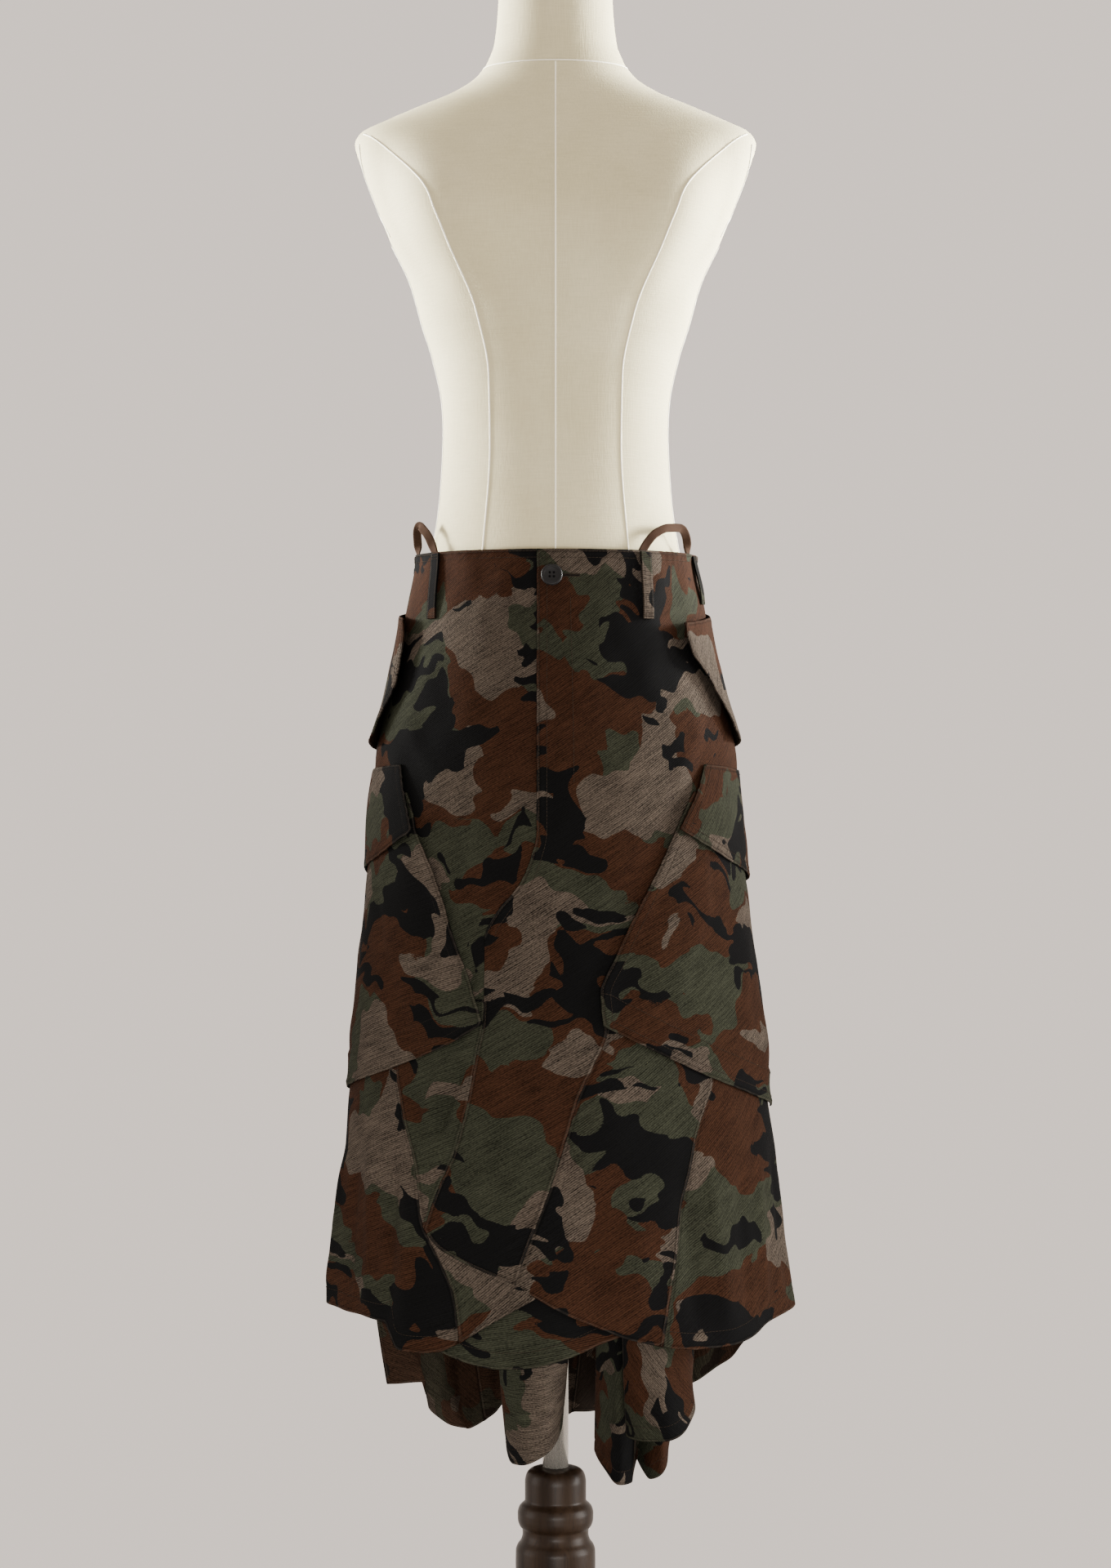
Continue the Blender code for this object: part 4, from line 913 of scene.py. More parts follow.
def strap_grid(line, width, lift, puff, columns, forward=0.0):
    """A flat strap along a line of angle and height, its middle lifted by puff, and twisted to the front."""
    angle, z = line[:, 0], line[:, 1]
    here = skirt_surface(angle, z, lift)
    normal = skirt_surface(angle, z, lift + 0.01) - here
    normal /= np.linalg.norm(normal, axis=1, keepdims=True)
    forward = np.asarray(forward)[..., None]
    normal = normal * (1 - forward) + np.array([0.0, -1.0, 0.0]) * forward
    normal /= np.linalg.norm(normal, axis=1, keepdims=True)
    along = np.gradient(here, axis=0)
    side = np.cross(along, normal)
    side /= np.linalg.norm(side, axis=1, keepdims=True)
    up = normal * (puff * np.sin(math.pi * np.linspace(0, 1, len(line))))[:, None]
    across = np.linspace(-0.5, 0.5, columns) * width
    points = (here + up)[:, None] + side[:, None] * across[None, :, None]
    lengths = lengths_along(here)
    flat = np.stack([across[None, :] * np.ones((len(line), 1)), lengths[:, None] * np.ones((1, columns))], -1)
    edge = (width / 2 - abs(across))[None, :] * np.ones((len(line), 1))
    return points, flat, edge


def make_belt_loops():
    for i, (name, high, low, top, bottom) in enumerate(BELT_LOOPS):
        line = np.stack([np.linspace(high, low, 25), np.linspace(top, bottom, 25)], -1)
        points, flat, edge = strap_grid(line, LOOP_WIDTH, LOOP_LIFT, LOOP_PUFF, 7)
        flat = turned(flat, 35.0 * i, (0.2 + 0.13 * i, 0.4))
        piece = make_cloth(name + "_cloth", [(points, flat, edge)], PLY)
        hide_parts(name)
        stitch_edge("loop_stitching", points, "left", 0.0018)
        stitch_edge("loop_stitching", points, "right", 0.0018)
        for place in (1, 2, -3, -2):
            line, normal = points[place], grid_normals(points)[place]
            stitch("loop_stitching", line, -normal)


def make_hangers():
    for name, line in (("hanger_left", HANGER_LEFT), ("hanger_right", HANGER_RIGHT)):
        line = spaced(line, 90)
        low, high = TAPE_TWIST_Z
        twist = TAPE_TWIST * ease((line[:, 1] - low) / (high - low))
        points, flat, edge = strap_grid(line, TAPE_WIDTH, TAPE_LIFT + TAPE_THICK / 2, 0.0, 7, twist)
        piece = make_cloth(name + "_tape", [(points, flat, edge)], TAPE_THICK, ("hanger tape",), 0.0)
        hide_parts(name)


# Back tier and tails

def draped(top, hem, drift, down):
    """Points that fall from a top edge to a hem, with their share of the way across and down."""
    return top + (hem - top) * np.stack([drift, drift, down], -1)


def paid_out(points):
    """Length of cloth from the first row of points to each row."""
    steps = np.diff(points, axis=0, prepend=points[:1])
    return np.cumsum(np.linalg.norm(steps, axis=-1), axis=0)


def make_tier():
    fine = 5
    count = FLOUNCE_CUTS[-1] * fine + 1
    hem = spaced(FLOUNCE_HEM, count)
    angle = np.linspace(*FLOUNCE_ANGLES, count)
    down = np.concatenate([[0.0], np.linspace(0.0, 1.0, 60)])
    height = np.where(np.arange(len(down)) == 0, FLOUNCE_TOP_Z, BACK_SEAM_Z - 0.003)
    top = skirt_surface(angle[None] + 0 * height[:, None], height[:, None] + 0 * angle[None], FLOUNCE_LIFT)
    drift = (down ** 1.35)[:, None]
    points = draped(top, hem, drift, down[:, None])
    across = paid_out(points[40])
    fall = paid_out(points)
    normals = grid_normals(points)
    flat = np.stack([across[None] + 0 * fall, -fall], -1)
    wide_waves = 0.0012 * np.sin(across * 95.0 + 1.0)[None]
    fine_waves = 0.0008 * np.sin(across[None] * 210.0 + fall * 30.0)
    points = points + normals * ((wide_waves + fine_waves) * drift)[..., None]
    names = ("flounce_left", "flounce_back_left", "flounce_back_right", "flounce_right")
    turns = (70.0, 15.0, -20.0, 95.0)
    cuts = [cut * fine for cut in FLOUNCE_CUTS]
    spans = list(zip(cuts, cuts[1:]))
    for name, turn, (first, last) in zip(names, turns, spans):
        under = np.full(min(first, 1), -0.0016)
        first -= len(under)
        part = points[:, first:last + 1].copy()
        low = fall[-1, first:last + 1] - fall[:, first:last + 1]
        width = across[None, first:last + 1]
        ends = np.minimum(width - across[first], across[last] - width)
        edge = np.minimum(low, ends + 0 * low)
        out = grid_normals(part)
        dip = -0.0004 * (1 - ease(ends / 0.004)) + ridge(low, HEM_ROW, 0.0022, -0.0005)
        dip = dip + 0 * low
        dip[:, :len(under)] += under
        part += out * dip[..., None] * outward_sign(part)
        print_place = turned(flat[:, first:last + 1], turn, (first * 0.01, 1.7))
        piece = make_cloth(name + "_cloth", [(part, print_place, edge)])
        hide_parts(name)
        stitch_edge("tier_stitching", part, "bottom", HEM_ROW)
        stitch_edge("tier_stitching", part, "right", EDGE_ROW, start=0.05)


def outward_sign(points):
    outward = grid_normals(points)[..., :2] * points[..., :2]
    return 1.0 if outward.sum() > 0 else -1.0


def make_tail(name, node, table, columns, rows, turn):
    start, end, top_z, lift, fall, hem_points = table
    hem = spaced(hem_points, columns)
    u = np.linspace(0, 1, columns)
    v = np.linspace(0, 1, rows)
    top = skirt_surface(start + (end - start) * u, top_z + 0 * u, lift)
    drift = (v ** fall)[:, None]
    points = draped(top, hem, drift, v[:, None])
    across = paid_out(points[-1])
    down = paid_out(points)
    low = down[-1] - down
    side = np.minimum(across, across[-1] - across)[None] + 0 * low
    dip = ridge(low, HEM_ROW, 0.0022, -0.0005)
    waves = 0.0009 * np.sin(across * 120.0 + 0.5)[None] * drift
    points += grid_normals(points) * outward_sign(points) * (dip + waves)[..., None]
    flat = np.stack([across[None] + 0 * down, -down], -1)
    patch = (points, turned(flat, turn, (2.0 + 0.01 * turn, 0.3)), np.minimum(low, side))
    piece = make_cloth(name, [patch])
    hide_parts(node)
    stitch_edge("tier_stitching", points, "bottom", HEM_ROW)
    return points


# Dress form and stand

def oval(angle, half, front, behind, square):
    turn = np.radians(angle)
    s = np.sin(turn)
    c = np.cos(turn)
    power = 2.0 / square
    deep = np.where(c > 0, front, behind)
    return half * np.copysign(abs(s) ** power, s), -deep * np.copysign(abs(c) ** power, c)


def bust_out(angle, z):
    total = np.zeros(np.shape(angle))
    for middle, height, wide, tall, full in BUST:
        away = np.clip(np.hypot(apart(angle, middle) / wide, (z - height) / tall), 0.0, 1.0)
        total += full * (0.5 + 0.5 * np.cos(math.pi * away))
    return total


def form_surface(angle, z, lift=0.0):
    size = smooth_rows(FORM_SECTIONS, z)
    x, y = oval(angle, *[size[..., c] for c in range(4)])
    way = np.stack([0.35 * x, y], -1)
    way /= np.maximum(np.linalg.norm(way, axis=-1, keepdims=True), 1e-9)
    out = bust_out(angle, z) + lift
    return np.stack([x + way[..., 0] * out, y + way[..., 1] * out, z + 0 * x], -1)


def make_rings(name, rings, *materials):
    """A closed body from rings of points, lowest first."""
    rows, around = rings.shape[:2]
    shape = bmesh.new()
    points = bmesh.ops.create_grid(shape, x_segments=around, y_segments=rows - 1, size=1.0)["verts"]
    for vert in points:
        i = round((vert.co.x + 1) / 2 * around) % around
        j = round((vert.co.y + 1) / 2 * (rows - 1))
        vert.co = rings[j, i]
    bmesh.ops.remove_doubles(shape, verts=shape.verts[:], dist=0.00001)
    open_edges = [edge for edge in shape.edges if edge.is_boundary]
    bmesh.ops.holes_fill(shape, edges=open_edges, sides=0)
    bmesh.ops.recalc_face_normals(shape, faces=shape.faces[:])
    return finish_piece(name, shape, *materials)


def make_form():
    around = 160
    angle = np.arange(around) * 360.0 / around
    z = np.concatenate([np.linspace(0.8400, 1.4900, 120), np.linspace(1.4940, 1.5900, 40)])
    rings = form_surface(angle[None] + 0 * z[:, None], z[:, None] + 0 * angle[None])
    piece = make_rings("dress_form_body", rings, "form linen")
    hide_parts("form_torso")

    heights = np.concatenate([np.linspace(1.5903, 1.676, 40), np.linspace(1.677, 1.6860, 16)])
    size = smooth_rows(NECK_RINGS, heights)
    x, y = oval(angle[None], size[:, None, 0], size[:, None, 1], size[:, None, 2], 2.0)
    rings = np.stack([x, y, heights[:, None] + 0 * x], -1)
    piece = make_rings("dress_form_neck", rings, "form linen")
    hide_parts("form_neck")


# Form seams: across, height on the front, then the same behind
FRONT_SEAM = ((0.1930, 1.5260), (0.1824, 1.5215), (0.1560, 1.5000), (0.1310, 1.4790), (0.1185, 1.4660),
              (0.1110, 1.4540), (0.1058, 1.4400), (0.1000, 1.4240), (0.0930, 1.4010), (0.0735, 1.3415),
              (0.0630, 1.2880), (0.0618, 1.2190), (0.0680, 1.1268), (0.0760, 1.0400), (0.0860, 0.9500),
              (0.0930, 0.8450))
PLATE_SEAM = ((0.1880, 1.5130), (0.1862, 1.4970), (0.1760, 1.4640), (0.1585, 1.4255))


def angle_for(x, z):
    size = smooth_rows(FORM_SECTIONS, z)
    share = np.clip(abs(x) / size[..., 0], 0.0, 1.0) ** (size[..., 3] / 2)
    return np.degrees(np.arcsin(share)) * np.sign(x)


def make_cord_line(name, points, radius, material):
    curve = bpy.data.curves.new(name, "CURVE")
    curve.dimensions = "3D"
    curve.bevel_depth = radius
    curve.bevel_resolution = 2
    curve.use_fill_caps = True
    for line in points:
        spline = curve.splines.new("POLY")
        spline.points.add(len(line) - 1)
        for point, place in zip(spline.points, line):
            point.co = (*place, 1.0)
    curve.materials.append(bpy.data.materials[material])
    piece = bpy.data.objects.new(name, curve)
    bpy.context.scene.collection.objects.link(piece)
    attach(piece, "root")
    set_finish(piece, "linen")
    return piece


def make_form_seams():
    lines = []
    for sign in (-1.0, 1.0):
        seam = spaced(FRONT_SEAM, 160)
        angle = angle_for(seam[:, 0] * sign, seam[:, 1])
        lines.append(form_surface(angle, seam[:, 1], 0.0002))
        lines.append(form_surface(180.0 - angle, seam[:, 1], 0.0002))
        plate = spaced(PLATE_SEAM, 50)
        angle = angle_for(plate[:, 0] * sign, plate[:, 1])
        lines.append(form_surface(angle, plate[:, 1], 0.0002))
        z = np.linspace(0.845, 1.420, 100)
        lines.append(form_surface(sign * 90.0 + 0 * z, z, 0.0002))
    z = np.linspace(0.845, 1.5885, 160)
    lines.append(form_surface(0.0 * z, z, 0.0002))
    lines.append(form_surface(180.0 + 0 * z, z, 0.0002))
    make_cord_line("form_seams", lines, 0.0008, "form piping")
    angle = np.linspace(0, 360, 97)
    x, y = oval(angle, 0.0695, 0.0468, 0.0508, 2.0)
    make_cord_line("neck_seam", [np.stack([x, y, 1.5902 + 0 * x], -1)], 0.0008, "form piping")


def spun(profile, steps):
    """A solid of revolution: the profile is radius and height, lowest first."""
    shape = bmesh.new()
    line = [(0.0, profile[0][1])] + [tuple(p) for p in profile] + [(0.0, profile[-1][1])]
    verts = [shape.verts.new((radius, 0.0, z)) for radius, z in line]
    edges = [shape.edges.new(pair) for pair in zip(verts, verts[1:])]
    bmesh.ops.spin(shape, geom=verts + edges, cent=(0, 0, 0), axis=(0, 0, 1), angle=2 * math.pi,
                   steps=steps, use_merge=True)
    bmesh.ops.remove_doubles(shape, verts=shape.verts[:], dist=0.00001)
    bmesh.ops.recalc_face_normals(shape, faces=shape.faces[:])
    return shape


def round_profile(profile, count):
    lengths = [0.0]
    for a, b in zip(profile, profile[1:]):
        lengths.append(lengths[-1] + math.dist(a, b))
    rows = [(length, *point) for length, point in zip(lengths, profile)]
    return smooth_rows(rows, np.linspace(0.0, lengths[-1], count))


def make_stand():
    column = finish_piece("turned_column", spun(round_profile(COLUMN_PROFILE, 150), 96), "dark walnut")
    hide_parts("stand_column")
    base = finish_piece("round_base", spun(round_profile(BASE_PROFILE, 60), 128), "dark walnut")
    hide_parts("stand_base")
    ends = ((POLE_RADIUS, COLUMN_TOP_Z + 0.0003), (POLE_RADIUS, POLE_TOP_Z))
    pole = finish_piece("steel_pole", spun(ends, 64), "brushed steel")
    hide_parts("stand_pole")


# Button

def button_place():
    """The transform that lays a piece flat on the cloth at the button's place."""
    angle, z = BUTTON[:2]
    around = np.array([angle, angle - 2, angle + 2, angle, angle])
    up = np.array([z, z, z, z - 0.01, z + 0.01])
    here, left, right, low, high = skirt_surface(around, up, BUTTON_LIFT)
    normal = Vector(np.cross(right - left, high - low)).normalized()
    place = normal.to_track_quat("Z", "Y").to_matrix().to_4x4()
    place.translation = Vector(here)
    return place


def make_button():
    radius, thick = BUTTON[2:]
    place = button_place()
    profile = ((radius * 0.90, 0.0), (radius * 0.985, thick * 0.18), (radius, thick * 0.45),
               (radius * 0.97, thick * 0.78), (radius * 0.90, thick * 0.95), (radius * 0.82, thick),
               (radius * 0.74, thick * 0.94), (radius * 0.68, thick * 0.74), (radius * 0.60, thick * 0.66))
    shape = spun(profile, 48)
    shape.transform(place)
    piece = finish_piece("shank_button", shape, "black button")
    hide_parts("button")
    holes = bmesh.new()
    for x in (-HOLE_APART, HOLE_APART):
        for y in (-HOLE_APART, HOLE_APART):
            ring = bmesh.ops.create_circle(holes, cap_ends=True, segments=14, radius=HOLE_RADIUS)["verts"]
            bmesh.ops.translate(holes, vec=(x, y, thick * 0.66 + 0.00006), verts=ring)
    holes.transform(place)
    piece = finish_piece("button_holes", holes, "black thread")
    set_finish(piece, "button_plastic")


BUTTONHOLE = 0.024
WAIST_DEGREE = 0.0022
OVERCAST_PITCH = 0.0006


def make_buttonhole():
    """The slit that the button passes through, drawn as a dark cord of painted shade, and the overcast
    stitches along its two sides.
    """
    angle, z = BUTTON[:2]
    around = np.linspace(angle, angle + BUTTONHOLE / WAIST_DEGREE, 40)
    line = skirt_surface(around, z + 0.0 * around, 0.0001)
    normal = (skirt_surface(around, z + 0.0 * around, 0.0101) - line) * 100
    # The slit is a thin black cord: painted shade in the opening.
    curve = bpy.data.curves.new("buttonhole_slit", "CURVE")
    curve.dimensions = "3D"
    curve.bevel_depth = 0.0006
    curve.bevel_resolution = 1
    slit = curve.splines.new("POLY")
    slit.points.add(len(line) - 1)
    for point, place in zip(slit.points, line):
        point.co = (*place, 1.0)
    curve.materials.append(bpy.data.materials["black thread"])
    piece = bpy.data.objects.new("buttonhole_slit", curve)
    bpy.context.scene.collection.objects.link(piece)
    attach(piece, "root")
    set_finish(piece, "button_plastic")
    up = np.array([0.0, 0.0, 1.0])
    lengths = lengths_along(line)
    for place in np.arange(0.0, lengths[-1], OVERCAST_PITCH):
        here = np.array([np.interp(place, lengths, line[:, c]) for c in range(3)])
        out = np.array([np.interp(place, lengths, normal[:, c]) for c in range(3)])
        for side in (-1.0, 1.0):
            row = [here + side * reach * up + out * rise
                   for reach, rise in ((0.0005, 0.0002), (0.0010, 0.0005), (0.0016, 0.0001))]
            STITCHES.setdefault("buttonhole_stitching", []).append(row)


# Materials

def add(tree, kind, links=None, **settings):
    """A new node, with its settings and what its inputs hold or are joined to."""
    made = tree.nodes.new(kind)
    for key, value in settings.items():
        setattr(made, key, value)
    for key, value in (links or {}).items():
        if isinstance(value, bpy.types.NodeSocket):
            tree.links.new(value, made.inputs[key])
        else:
            made.inputs[key].default_value = value
    return made


def maths(tree, operation, first, second=0.0, third=0.0, clamp=False):
    made = add(tree, "ShaderNodeMath", {0: first, 1: second, 2: third}, operation=operation, use_clamp=clamp)
    return made.outputs[0]


def vectors(tree, operation, first, second):
    made = add(tree, "ShaderNodeVectorMath", {0: first, 1: second}, operation=operation)
    return made.outputs[0]


def noise(tree, place, scale, detail=1.0, roughness=0.5, output="Fac", flat=True):
    made = add(tree, "ShaderNodeTexNoise",
               {"Vector": place, "Scale": scale, "Detail": detail, "Roughness": roughness},
               noise_dimensions="2D" if flat else "3D")
    return made.outputs[output]


def moved(tree, place, scale=(1, 1, 1), turn=0.0, shift=(0, 0, 0)):
    made = add(tree, "ShaderNodeMapping",
               {"Vector": place, "Scale": scale, "Rotation": (0, 0, math.radians(turn)), "Location": shift})
    return made.outputs[0]


def mixed(tree, factor, first, second, blend="MIX"):
    made = add(tree, "ShaderNodeMix", {0: factor, 6: first, 7: second}, data_type="RGBA", blend_type=blend)
    return made.outputs[2]


def ramp(tree, value, low, high, start=0.0, end=1.0):
    made = add(tree, "ShaderNodeMapRange",
               {"Value": value, "From Min": low, "From Max": high, "To Min": start, "To Max": end})
    return made.outputs[0]


def new_group(name, inputs, outputs):
    group = bpy.data.node_groups.new(name, "ShaderNodeTree")
    for label, kind in inputs:
        group.interface.new_socket(label, in_out="INPUT", socket_type="NodeSocket" + kind)
    for label, kind in outputs:
        group.interface.new_socket(label, in_out="OUTPUT", socket_type="NodeSocket" + kind)
    return group, group.nodes.new("NodeGroupInput").outputs, group.nodes.new("NodeGroupOutput").inputs


def new_material(name, roughness, metallic=0.0, **constants):
    material = bpy.data.materials.new(name)
    material.use_nodes = True
    tree = material.node_tree
    shader = tree.nodes["Principled BSDF"]
    shader.inputs["Roughness"].default_value = roughness
    shader.inputs["Metallic"].default_value = metallic
    for key, value in constants.items():
        shader.inputs[key.replace("_", " ")].default_value = value
    return tree, shader


def place_group(tree, group, links):
    return add(tree, "ShaderNodeGroup", links, node_tree=group).outputs


BROWN = (0.0205, 0.0088, 0.0047, 1.0)
GREEN = (0.0172, 0.0185, 0.0122, 1.0)
KHAKI = (0.0400, 0.0315, 0.0245, 1.0)
BLACK = (0.0030, 0.0030, 0.0031, 1.0)
# How the patches are bent: waves per metre, reach
PRINT_SWAY = ((14.0, (0.050, 0.038, 0.0)), (42.0, (0.021, 0.019, 0.0)), (700.0, (0.0010, 0.0010, 0.0)))
# Patches of the print: colour, patches per metre across and up, turn, start, fingers, how much is bare
PATCHES = (
    (GREEN, (8.0, 12.5, 1.0), 12.0, (3.1, 1.7, 0.0), 0.07, 0.540),
    (KHAKI, (9.0, 13.0, 1.0), -24.0, (7.4, 4.2, 0.0), 0.05, 0.618),
    (BLACK, (9.5, 14.5, 1.0), 20.0, (1.9, 9.6, 0.0), 0.22, 0.630),
)


def print_group():
    """Woodland camouflage: lobed patches of green, khaki and black over brown."""
    tree, given, out = new_group(
        "woodland print", (("Cloth", "Vector"),), (("Dye", "Color"), ("Black", "Float"), ("Pale", "Float")))
    cloth = given["Cloth"]
    bent = cloth
    for scale, reach in PRINT_SWAY:
        sway = vectors(tree, "SUBTRACT", noise(tree, cloth, scale, 0.0, 0.5, "Color"), (0.5, 0.5, 0.5))
        bent = vectors(tree, "ADD", bent, vectors(tree, "MULTIPLY", sway, reach))
    dye = BROWN
    masks = []
    for colour, scale, turn, shift, fingers, level in PATCHES:
        field = noise(tree, moved(tree, bent, scale, turn, shift), 1.0, 0.0)
        branches = noise(tree, moved(tree, bent, (30.0, 66.0, 1.0), turn + 35.0, shift), 1.0, 0.0)
        field = maths(tree, "ADD", field, ramp(tree, branches, 0.3, 0.7, -fingers / 2, fingers / 2))
        masks.append(ramp(tree, field, level - 0.0012, level + 0.0012))
        dye = mixed(tree, masks[-1], dye, colour)
    tree.links.new(dye, out["Dye"])
    tree.links.new(masks[2], out["Black"])
    tree.links.new(masks[1], out["Pale"])
    return tree


RIB_SPACING = 0.0018
RIB_LEAN = 33.0


def weave_group():
    """Ribbed twill with slubs: a shade round 1 and a height from 0 to 1."""
    tree, given, out = new_group(
        "ribbed weave", (("Cloth", "Vector"),), (("Shade", "Float"), ("Height", "Float")))
    leant = moved(tree, given["Cloth"], turn=-RIB_LEAN)
    wobble = vectors(tree, "SUBTRACT", noise(tree, leant, 60.0, 1.0, 0.5, "Color"), (0.5, 0.5, 0.5))
    leant = vectors(tree, "ADD", leant, vectors(tree, "MULTIPLY", wobble, (0.0, 0.0010, 0.0)))
    ribs = add(tree, "ShaderNodeTexWave", {"Vector": leant, "Scale": math.pi / 10 / RIB_SPACING},
               wave_type="BANDS", bands_direction="Y", wave_profile="SIN").outputs["Fac"]
    slubs = noise(tree, moved(tree, leant, (34.0, 560.0, 1.0)), 1.0, 1.0, 0.6)
    flecks = noise(tree, moved(tree, leant, (420.0, 900.0, 1.0)), 1.0, 0.0)
    drift = noise(tree, given["Cloth"], 30.0, 2.0, 0.6)
    slub_shade = ramp(tree, slubs, 0.30, 0.70, -0.24, 0.28)
    fleck_shade = ramp(tree, flecks, 0.25, 0.75, -0.26, 0.26)
    rib_shade = ramp(tree, ribs, 0.0, 1.0, -0.34, 0.32)
    shade = maths(tree, "ADD", maths(tree, "ADD", slub_shade, fleck_shade), rib_shade)
    shade = maths(tree, "ADD", shade, ramp(tree, drift, 0.3, 0.7, -0.10, 0.10))
    tree.links.new(maths(tree, "ADD", shade, 1.0), out["Shade"])
    height = maths(tree, "ADD", maths(tree, "MULTIPLY", ribs, 0.6), maths(tree, "MULTIPLY", slubs, 0.4))
    tree.links.new(height, out["Height"])
    return tree


def rubbing_and_shade_group():
    """Pale, rubbed edges, and painted shade: a darker line along the seam groove beside them and at the
    turned rim.
    """
    tree, given, out = new_group(
        "edge rubbing and seam shade", (("Edge", "Float"), ("Cloth", "Vector")), (("Rubbed", "Float"), ("Seam shade", "Float")))
    patchy = ramp(tree, noise(tree, given["Cloth"], 120.0, 2.0, 0.6), 0.35, 0.70)
    ridge = maths(tree, "ABSOLUTE", maths(tree, "SUBTRACT", given["Edge"], 0.0015))
    rubbed = ramp(tree, ridge, 0.0, 0.0010, 1.0, 0.0)
    patchy = maths(tree, "ADD", maths(tree, "MULTIPLY", patchy, 0.7), 0.3)
    tree.links.new(maths(tree, "MULTIPLY", rubbed, patchy), out["Rubbed"])
    # Painted shade: a dark line along the seam groove 3.2 mm in from the edge, and a darker rim at the edge
    # itself.
    beside = maths(tree, "ABSOLUTE", maths(tree, "SUBTRACT", given["Edge"], 0.0032))
    seam_shade = ramp(tree, beside, 0.0, 0.0011, 0.5, 0.0)
    rim_shade = ramp(tree, given["Edge"], 0.0004, 0.0010, 1.0, 0.0)
    tree.links.new(maths(tree, "MAXIMUM", seam_shade, rim_shade), out["Seam shade"])
    return tree


WRONG_SIDE = (0.0170, 0.0115, 0.0080, 1.0)
RUBBED = (0.060, 0.048, 0.038, 1.0)
RUBBED_SHARE = 0.28
# How much the painted seam shade darkens the cloth
SEAM_SHADE_SHARE = 0.60


def cloth_materials():
    printed, woven, rubbing_and_shade_tree = print_group(), weave_group(), rubbing_and_shade_group()
    for name, fade, roughness in (("camouflage cloth", 0.0, 0.86), ("cloth wrong side", 0.50, 0.92)):
        tree, shader = new_material(name, roughness, Specular_IOR_Level=0.03)
        cloth = add(tree, "ShaderNodeUVMap", uv_map="cloth").outputs[0]
        edge = add(tree, "ShaderNodeAttribute", attribute_name="edge").outputs["Fac"]
        dye = place_group(tree, printed, {"Cloth": cloth})
        weave = place_group(tree, woven, {"Cloth": cloth})
        rubbing_and_shade = place_group(tree, rubbing_and_shade_tree, {"Edge": edge, "Cloth": cloth})
        colour = dye["Dye"]
        if fade:
            colour = mixed(tree, fade, colour, WRONG_SIDE)
        plain = maths(tree, "MULTIPLY", dye["Black"], -0.65)
        plain = maths(tree, "ADD", plain, maths(tree, "MULTIPLY", dye["Pale"], 0.25))
        depth = maths(tree, "ADD", plain, 1.0)
        contrast = maths(tree, "MULTIPLY", maths(tree, "SUBTRACT", weave["Shade"], 1.0), depth)
        shade = maths(tree, "ADD", contrast, 1.0)
        # Painted seam shade darkens the colour along grooves and rims.
        seam_shade = maths(tree, "MULTIPLY", rubbing_and_shade["Seam shade"], SEAM_SHADE_SHARE)
        shade = maths(tree, "MULTIPLY", shade, maths(tree, "SUBTRACT", 1.0, seam_shade))
        grey = add(tree, "ShaderNodeCombineColor", {0: shade, 1: shade, 2: shade}).outputs[0]
        colour = mixed(tree, 1.0, colour, grey, "MULTIPLY")
        colour = mixed(tree, maths(tree, "MULTIPLY", rubbing_and_shade["Rubbed"], RUBBED_SHARE), colour, RUBBED)
        tree.links.new(colour, shader.inputs["Base Color"])
        bump = add(tree, "ShaderNodeBump", {"Height": weave["Height"], "Strength": 0.55, "Distance": 0.0004})
        tree.links.new(bump.outputs[0], shader.inputs["Normal"])
        rough = ramp(tree, weave["Height"], 0.2, 0.8, roughness - 0.06, roughness + 0.04)
        tree.links.new(rough, shader.inputs["Roughness"])


# Colours of the other finishes, dark and light
LINEN = ((0.520, 0.470, 0.290, 1.0), (0.570, 0.520, 0.335, 1.0))
PIPING = ((0.80, 0.76, 0.60, 1.0), (0.90, 0.87, 0.74, 1.0))
WALNUT = ((0.0070, 0.0042, 0.0026, 1.0), (0.0240, 0.0142, 0.0084, 1.0))
WALNUT_PORES = (0.0090, 0.0055, 0.0040, 1.0)
STEEL = ((0.52, 0.48, 0.42, 1.0), (0.76, 0.72, 0.65, 1.0))
TAPE = ((0.0200, 0.0105, 0.0064, 1.0), (0.0430, 0.0240, 0.0150, 1.0))
BUTTON_BLACK = ((0.0050, 0.0050, 0.0055, 1.0), (0.0105, 0.0100, 0.0100, 1.0))
# The dark one fills the button's four holes and colours the buttonhole slit, where it is painted shade.
THREADS = (
    ("sewing thread", (0.014, 0.0105, 0.0080, 1.0), (0.036, 0.027, 0.020, 1.0)),
    ("black thread", (0.0020, 0.0020, 0.0022, 1.0), (0.0050, 0.0050, 0.0052, 1.0)),
)
FLOOR = ((0.60, 0.58, 0.56, 1.0), (0.66, 0.64, 0.62, 1.0))


def object_place(tree):
    return add(tree, "ShaderNodeTexCoord").outputs["Object"]


